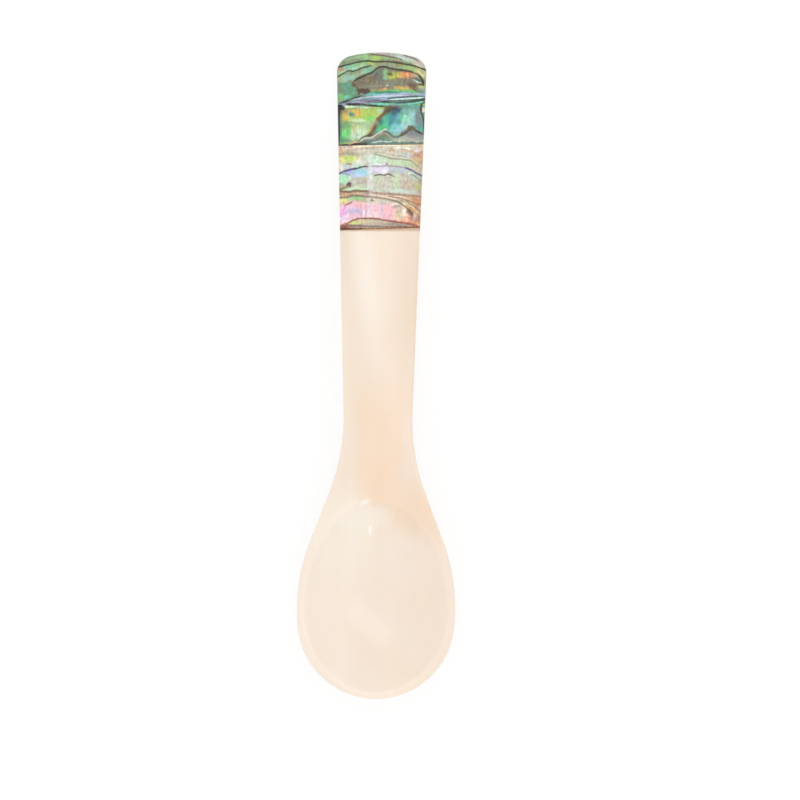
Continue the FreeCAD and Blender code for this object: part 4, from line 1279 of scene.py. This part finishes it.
def finish_tile(sheet, depth, flecks, lift, rich):
    """Adds upright striations, thin arched layers and flecks of other hues, and polishes the tile."""
    striation = sheet.noise(sheet.place, (6.5, 0.35, 1), 3.0, 0.65, seed=31.0)
    fleck = sheet.noise(sheet.loose, (2.6, 1.6, 1), 3.0, 0.65, seed=43.0)
    bow = sheet.math("MULTIPLY", sheet.math("SUBTRACT", sheet.across, 0.5), 5.0)
    rise = sheet.math("MULTIPLY", sheet.math("MULTIPLY", bow, bow), -1.0)
    arched = sheet.math("MULTIPLY_ADD", sheet.along, TILE_SPAN, rise)
    arch = sheet.node("ShaderNodeCombineXYZ", {"X": sheet.math("MULTIPLY", bow, 0.6), "Y": arched})
    layer = sheet.noise(arch.outputs[0], (0.9, 2.2, 1), 3.0, 0.6, seed=57.0)
    value = sheet.math("MULTIPLY_ADD", striation, depth, lift - depth / 2)
    value = sheet.math("MULTIPLY", value, sheet.math("MULTIPLY_ADD", fleck, 1.1, 0.45))
    value = sheet.math("MULTIPLY", value, sheet.math("MULTIPLY_ADD", layer, 0.5, 0.75))
    hue = sheet.math("MULTIPLY_ADD", fleck, flecks * 2, 0.5 - flecks)
    hue = sheet.math("ADD", hue, sheet.math("MULTIPLY_ADD", layer, flecks * 2, -flecks))
    return sheet.finish(
        tuning={"Hue": hue, "Saturation": rich, "Value": value},
        bump={"Strength": 0.2, "Distance": 0.01 * MM, "Height": striation},
        rough=sheet.math("MULTIPLY_ADD", striation, 0.2, 0.2),
        levels={"Specular IOR Level": 0.25, "Coat Weight": 0.3, "Coat Roughness": 0.03},
    )


# Tints of the cream shell, together with painted light and shade, each marked where it stands.
CREAM_TINTS_AND_PAINTED_LIGHT = (
    # Painted light and shade: the bowl's left edge lighter, its right edge darker.
    Patch(308, 612, 14, 74, (249, 234, 222), 0.75, edge=0.7),
    Patch(451, 600, 8, 64, (240, 224, 209), 0.7, edge=0.8),
    # Painted shade: the bowl's lower rim darkened.
    Patch(377, 694, 70, 20, (238, 222, 208), 0.85, edge=0.7),
    Patch(380, 606, 69, 100, (250, 233, 217), edge=0.06),
    # Painted light: the hollow's left part lighter, in this patch and the next.
    Patch(348, 536, 30, 42, (255, 241, 226), 0.75, edge=0.7),
    Patch(328, 610, 22, 84, (253, 237, 222), 0.6, edge=0.8),
    Patch(384, 440, 26, 84, (249, 221, 194), 0.75, edge=0.55),
    Patch(386, 392, 27, 46, (249, 221, 195), 0.6, edge=0.6),
    Patch(384, 475, 17, 40, (249, 216, 186), 0.4, edge=0.8),
    # Painted light: the hollow's top lighter.
    Patch(366, 517, 24, 13, (254, 241, 228), 0.85, edge=0.6),
    Patch(405, 514, 14, 22, (249, 222, 197), 0.7, edge=0.7, tilt=-30),
    Patch(425, 510, 20, 34, (244, 219, 195), 0.8, edge=0.7, tilt=-28),
    Patch(408, 430, 5, 50, (246, 228, 214), 0.7, edge=0.8),
    # Painted shade: the bowl's right side darker.
    Patch(425, 620, 26, 70, (246, 227, 209), 0.6, edge=0.8),
    Patch(382, 290, 44, 110, (245, 228, 210), 0.7, edge=0.6),
    # Painted reflection: a lighter streak down the handle.
    Patch(367, 280, 10, 66, (252, 239, 227), 0.65, edge=0.8, tilt=-7),
    # Painted shade: the handle's right side darker.
    Patch(412, 300, 16, 110, (236, 214, 192), 0.75, edge=0.8),
    Patch(340, 250, 9, 60, (238, 222, 204), 0.6, edge=0.8),
    # Painted highlight: a small white glint at the hollow's top edge.
    Patch(364.5, 502.5, 5, 1.9, (255, 250, 244), 0.8, edge=0.8, tilt=-25),
    # Painted shadow: a darker warm line just below the tiles.
    Line([(330, 229.4), (430, 229.4)], 1.4, (206, 166, 128), 0.9, soft=0.4, taper=0.01, halo=0.5),
)


def cream_shell():
    """Polished cream shell, peach along the neck and at the bowl's right shoulder, faintly banded, with
    painted light and shade: a painted reflection down the handle, painted highlights at the hollow's top,
    sides lighter on the left and darker on the right, the lower rim darkened, and a painted shadow below the
    tiles.
    """
    sheet = Sheet("cream shell", (245, 229, 212), waver=0.2, streak=2.4, roam=0.0)
    sheet.draw(CREAM_TINTS_AND_PAINTED_LIGHT)
    band = sheet.noise(sheet.place, (0.55, 0.05, 1), 3.0, 0.5, seed=71.0)
    cloud = sheet.noise(sheet.place, (0.12, 0.09, 1), 3.0, 0.5, seed=83.0)
    value = sheet.math("MULTIPLY_ADD", band, 0.05, 0.975)
    warm = sheet.math("MULTIPLY_ADD", cloud, 0.5, 0.75)
    grain = sheet.noise(sheet.solid, (0.5, 0.5, 0.5), 3.0, 0.5, seed=97.0)
    depth = {"Subsurface Weight": 0.35, "Subsurface Radius": (1.0, 0.7, 0.5), "Subsurface Scale": 0.8 * MM}
    return sheet.finish(
        tuning={"Saturation": warm, "Value": value},
        bump={"Strength": 0.1, "Distance": 0.1 * MM, "Height": grain},
        rough=sheet.math("MULTIPLY_ADD", grain, 0.08, 0.1),
        levels={**depth, "Coat Weight": 0.5, "Coat Roughness": 0.06},
    )


FLOOR_SIZE = 4.0
FLOOR_DROP = 0.02 * MM
FLOOR_WHITE = 0.93
BACKGROUND_GLOW = 1.04
BACKGROUND_SHARE = 0.8
WORLD_STRENGTH = 0.95


def floor_material():
    """A white floor that keeps the spoon's shadow, and shows as a white background to the camera."""
    made = Nodes("floor")
    white = (FLOOR_WHITE, FLOOR_WHITE, FLOOR_WHITE, 1)
    made.feed(made.shader, {"Base Color": white, "Roughness": 1.0, "Specular IOR Level": 0.0})
    glow = made.node("ShaderNodeEmission", {"Strength": BACKGROUND_GLOW})
    rays = made.node("ShaderNodeLightPath", {}).outputs
    seen = made.math("MAXIMUM", rays["Is Camera Ray"], rays["Is Glossy Ray"])
    seen = made.math("MAXIMUM", seen, rays["Is Transmission Ray"])
    share = made.math("MULTIPLY", seen, BACKGROUND_SHARE)
    both = made.node("ShaderNodeMixShader", {0: share, 1: made.shader.outputs[0], 2: glow.outputs[0]})
    made.feed(made.tree.nodes["Material Output"], {"Surface": both.outputs[0]})
    return made.material


def add_area(name, place, target, size, strength):
    """A softbox of a plain brightness, with place and size in metres."""
    data = bpy.data.lights.new(name, "AREA")
    data.shape = "RECTANGLE"
    data.size, data.size_y = size
    data.energy = strength * math.pi * size[0] * size[1]
    light = bpy.data.objects.new(name, data)
    light.location = place
    aim = Vector(target) - Vector(place)
    light.rotation_mode = "QUATERNION"
    light.rotation_quaternion = aim.to_track_quat("-Z", "Y")
    light.visible_camera = False
    bpy.context.scene.collection.objects.link(light)


# Making

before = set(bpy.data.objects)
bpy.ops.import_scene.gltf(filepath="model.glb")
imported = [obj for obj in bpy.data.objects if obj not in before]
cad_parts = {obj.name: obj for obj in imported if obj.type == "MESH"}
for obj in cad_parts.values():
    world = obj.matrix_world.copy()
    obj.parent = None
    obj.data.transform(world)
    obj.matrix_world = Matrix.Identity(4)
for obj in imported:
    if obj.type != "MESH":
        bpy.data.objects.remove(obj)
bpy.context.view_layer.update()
add_camera()

form = blank_mesh()
for name, node, slot, near, far, operation, material in (
    ("carved_spoon", "spoon_body", "cream_shell", FACING_LINE, END_LINE, "DIFFERENCE", cream_shell()),
    ("dark_tile", "upper_abalone_tile", "dark_abalone", SEAM_LINE, END_LINE, "INTERSECT", dark_abalone()),
    ("pale_tile", "lower_abalone_tile", "pale_abalone", FACING_LINE, SEAM_LINE, "INTERSECT", pale_abalone()),
):
    piece = parted(name, form, handle_block(near, far), operation)
    piece.data.materials.append(material)
    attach(piece, "root")
    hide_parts(node)

bpy.ops.mesh.primitive_plane_add(size=FLOOR_SIZE)
floor = bpy.context.object
floor.name = "floor"
floor.location.z = -FLOOR_DROP
floor.data.materials.append(floor_material())

world = bpy.data.worlds.new("world")
world.use_nodes = True
background = world.node_tree.nodes["Background"].inputs
background["Color"].default_value = (1, 1, 1, 1)
background["Strength"].default_value = WORLD_STRENGTH
bpy.context.scene.world = world
add_area("top softbox", place=(0.1, 0.16, 0.8), target=(0, 0.03, 0), size=(0.8, 0.3), strength=0.65)
add_area("strip light", place=(0.08, -0.54, 0.41), target=(0, -0.02, 0), size=(0.035, 0.06), strength=4.0)

bpy.context.scene.view_settings.view_transform = "Standard"
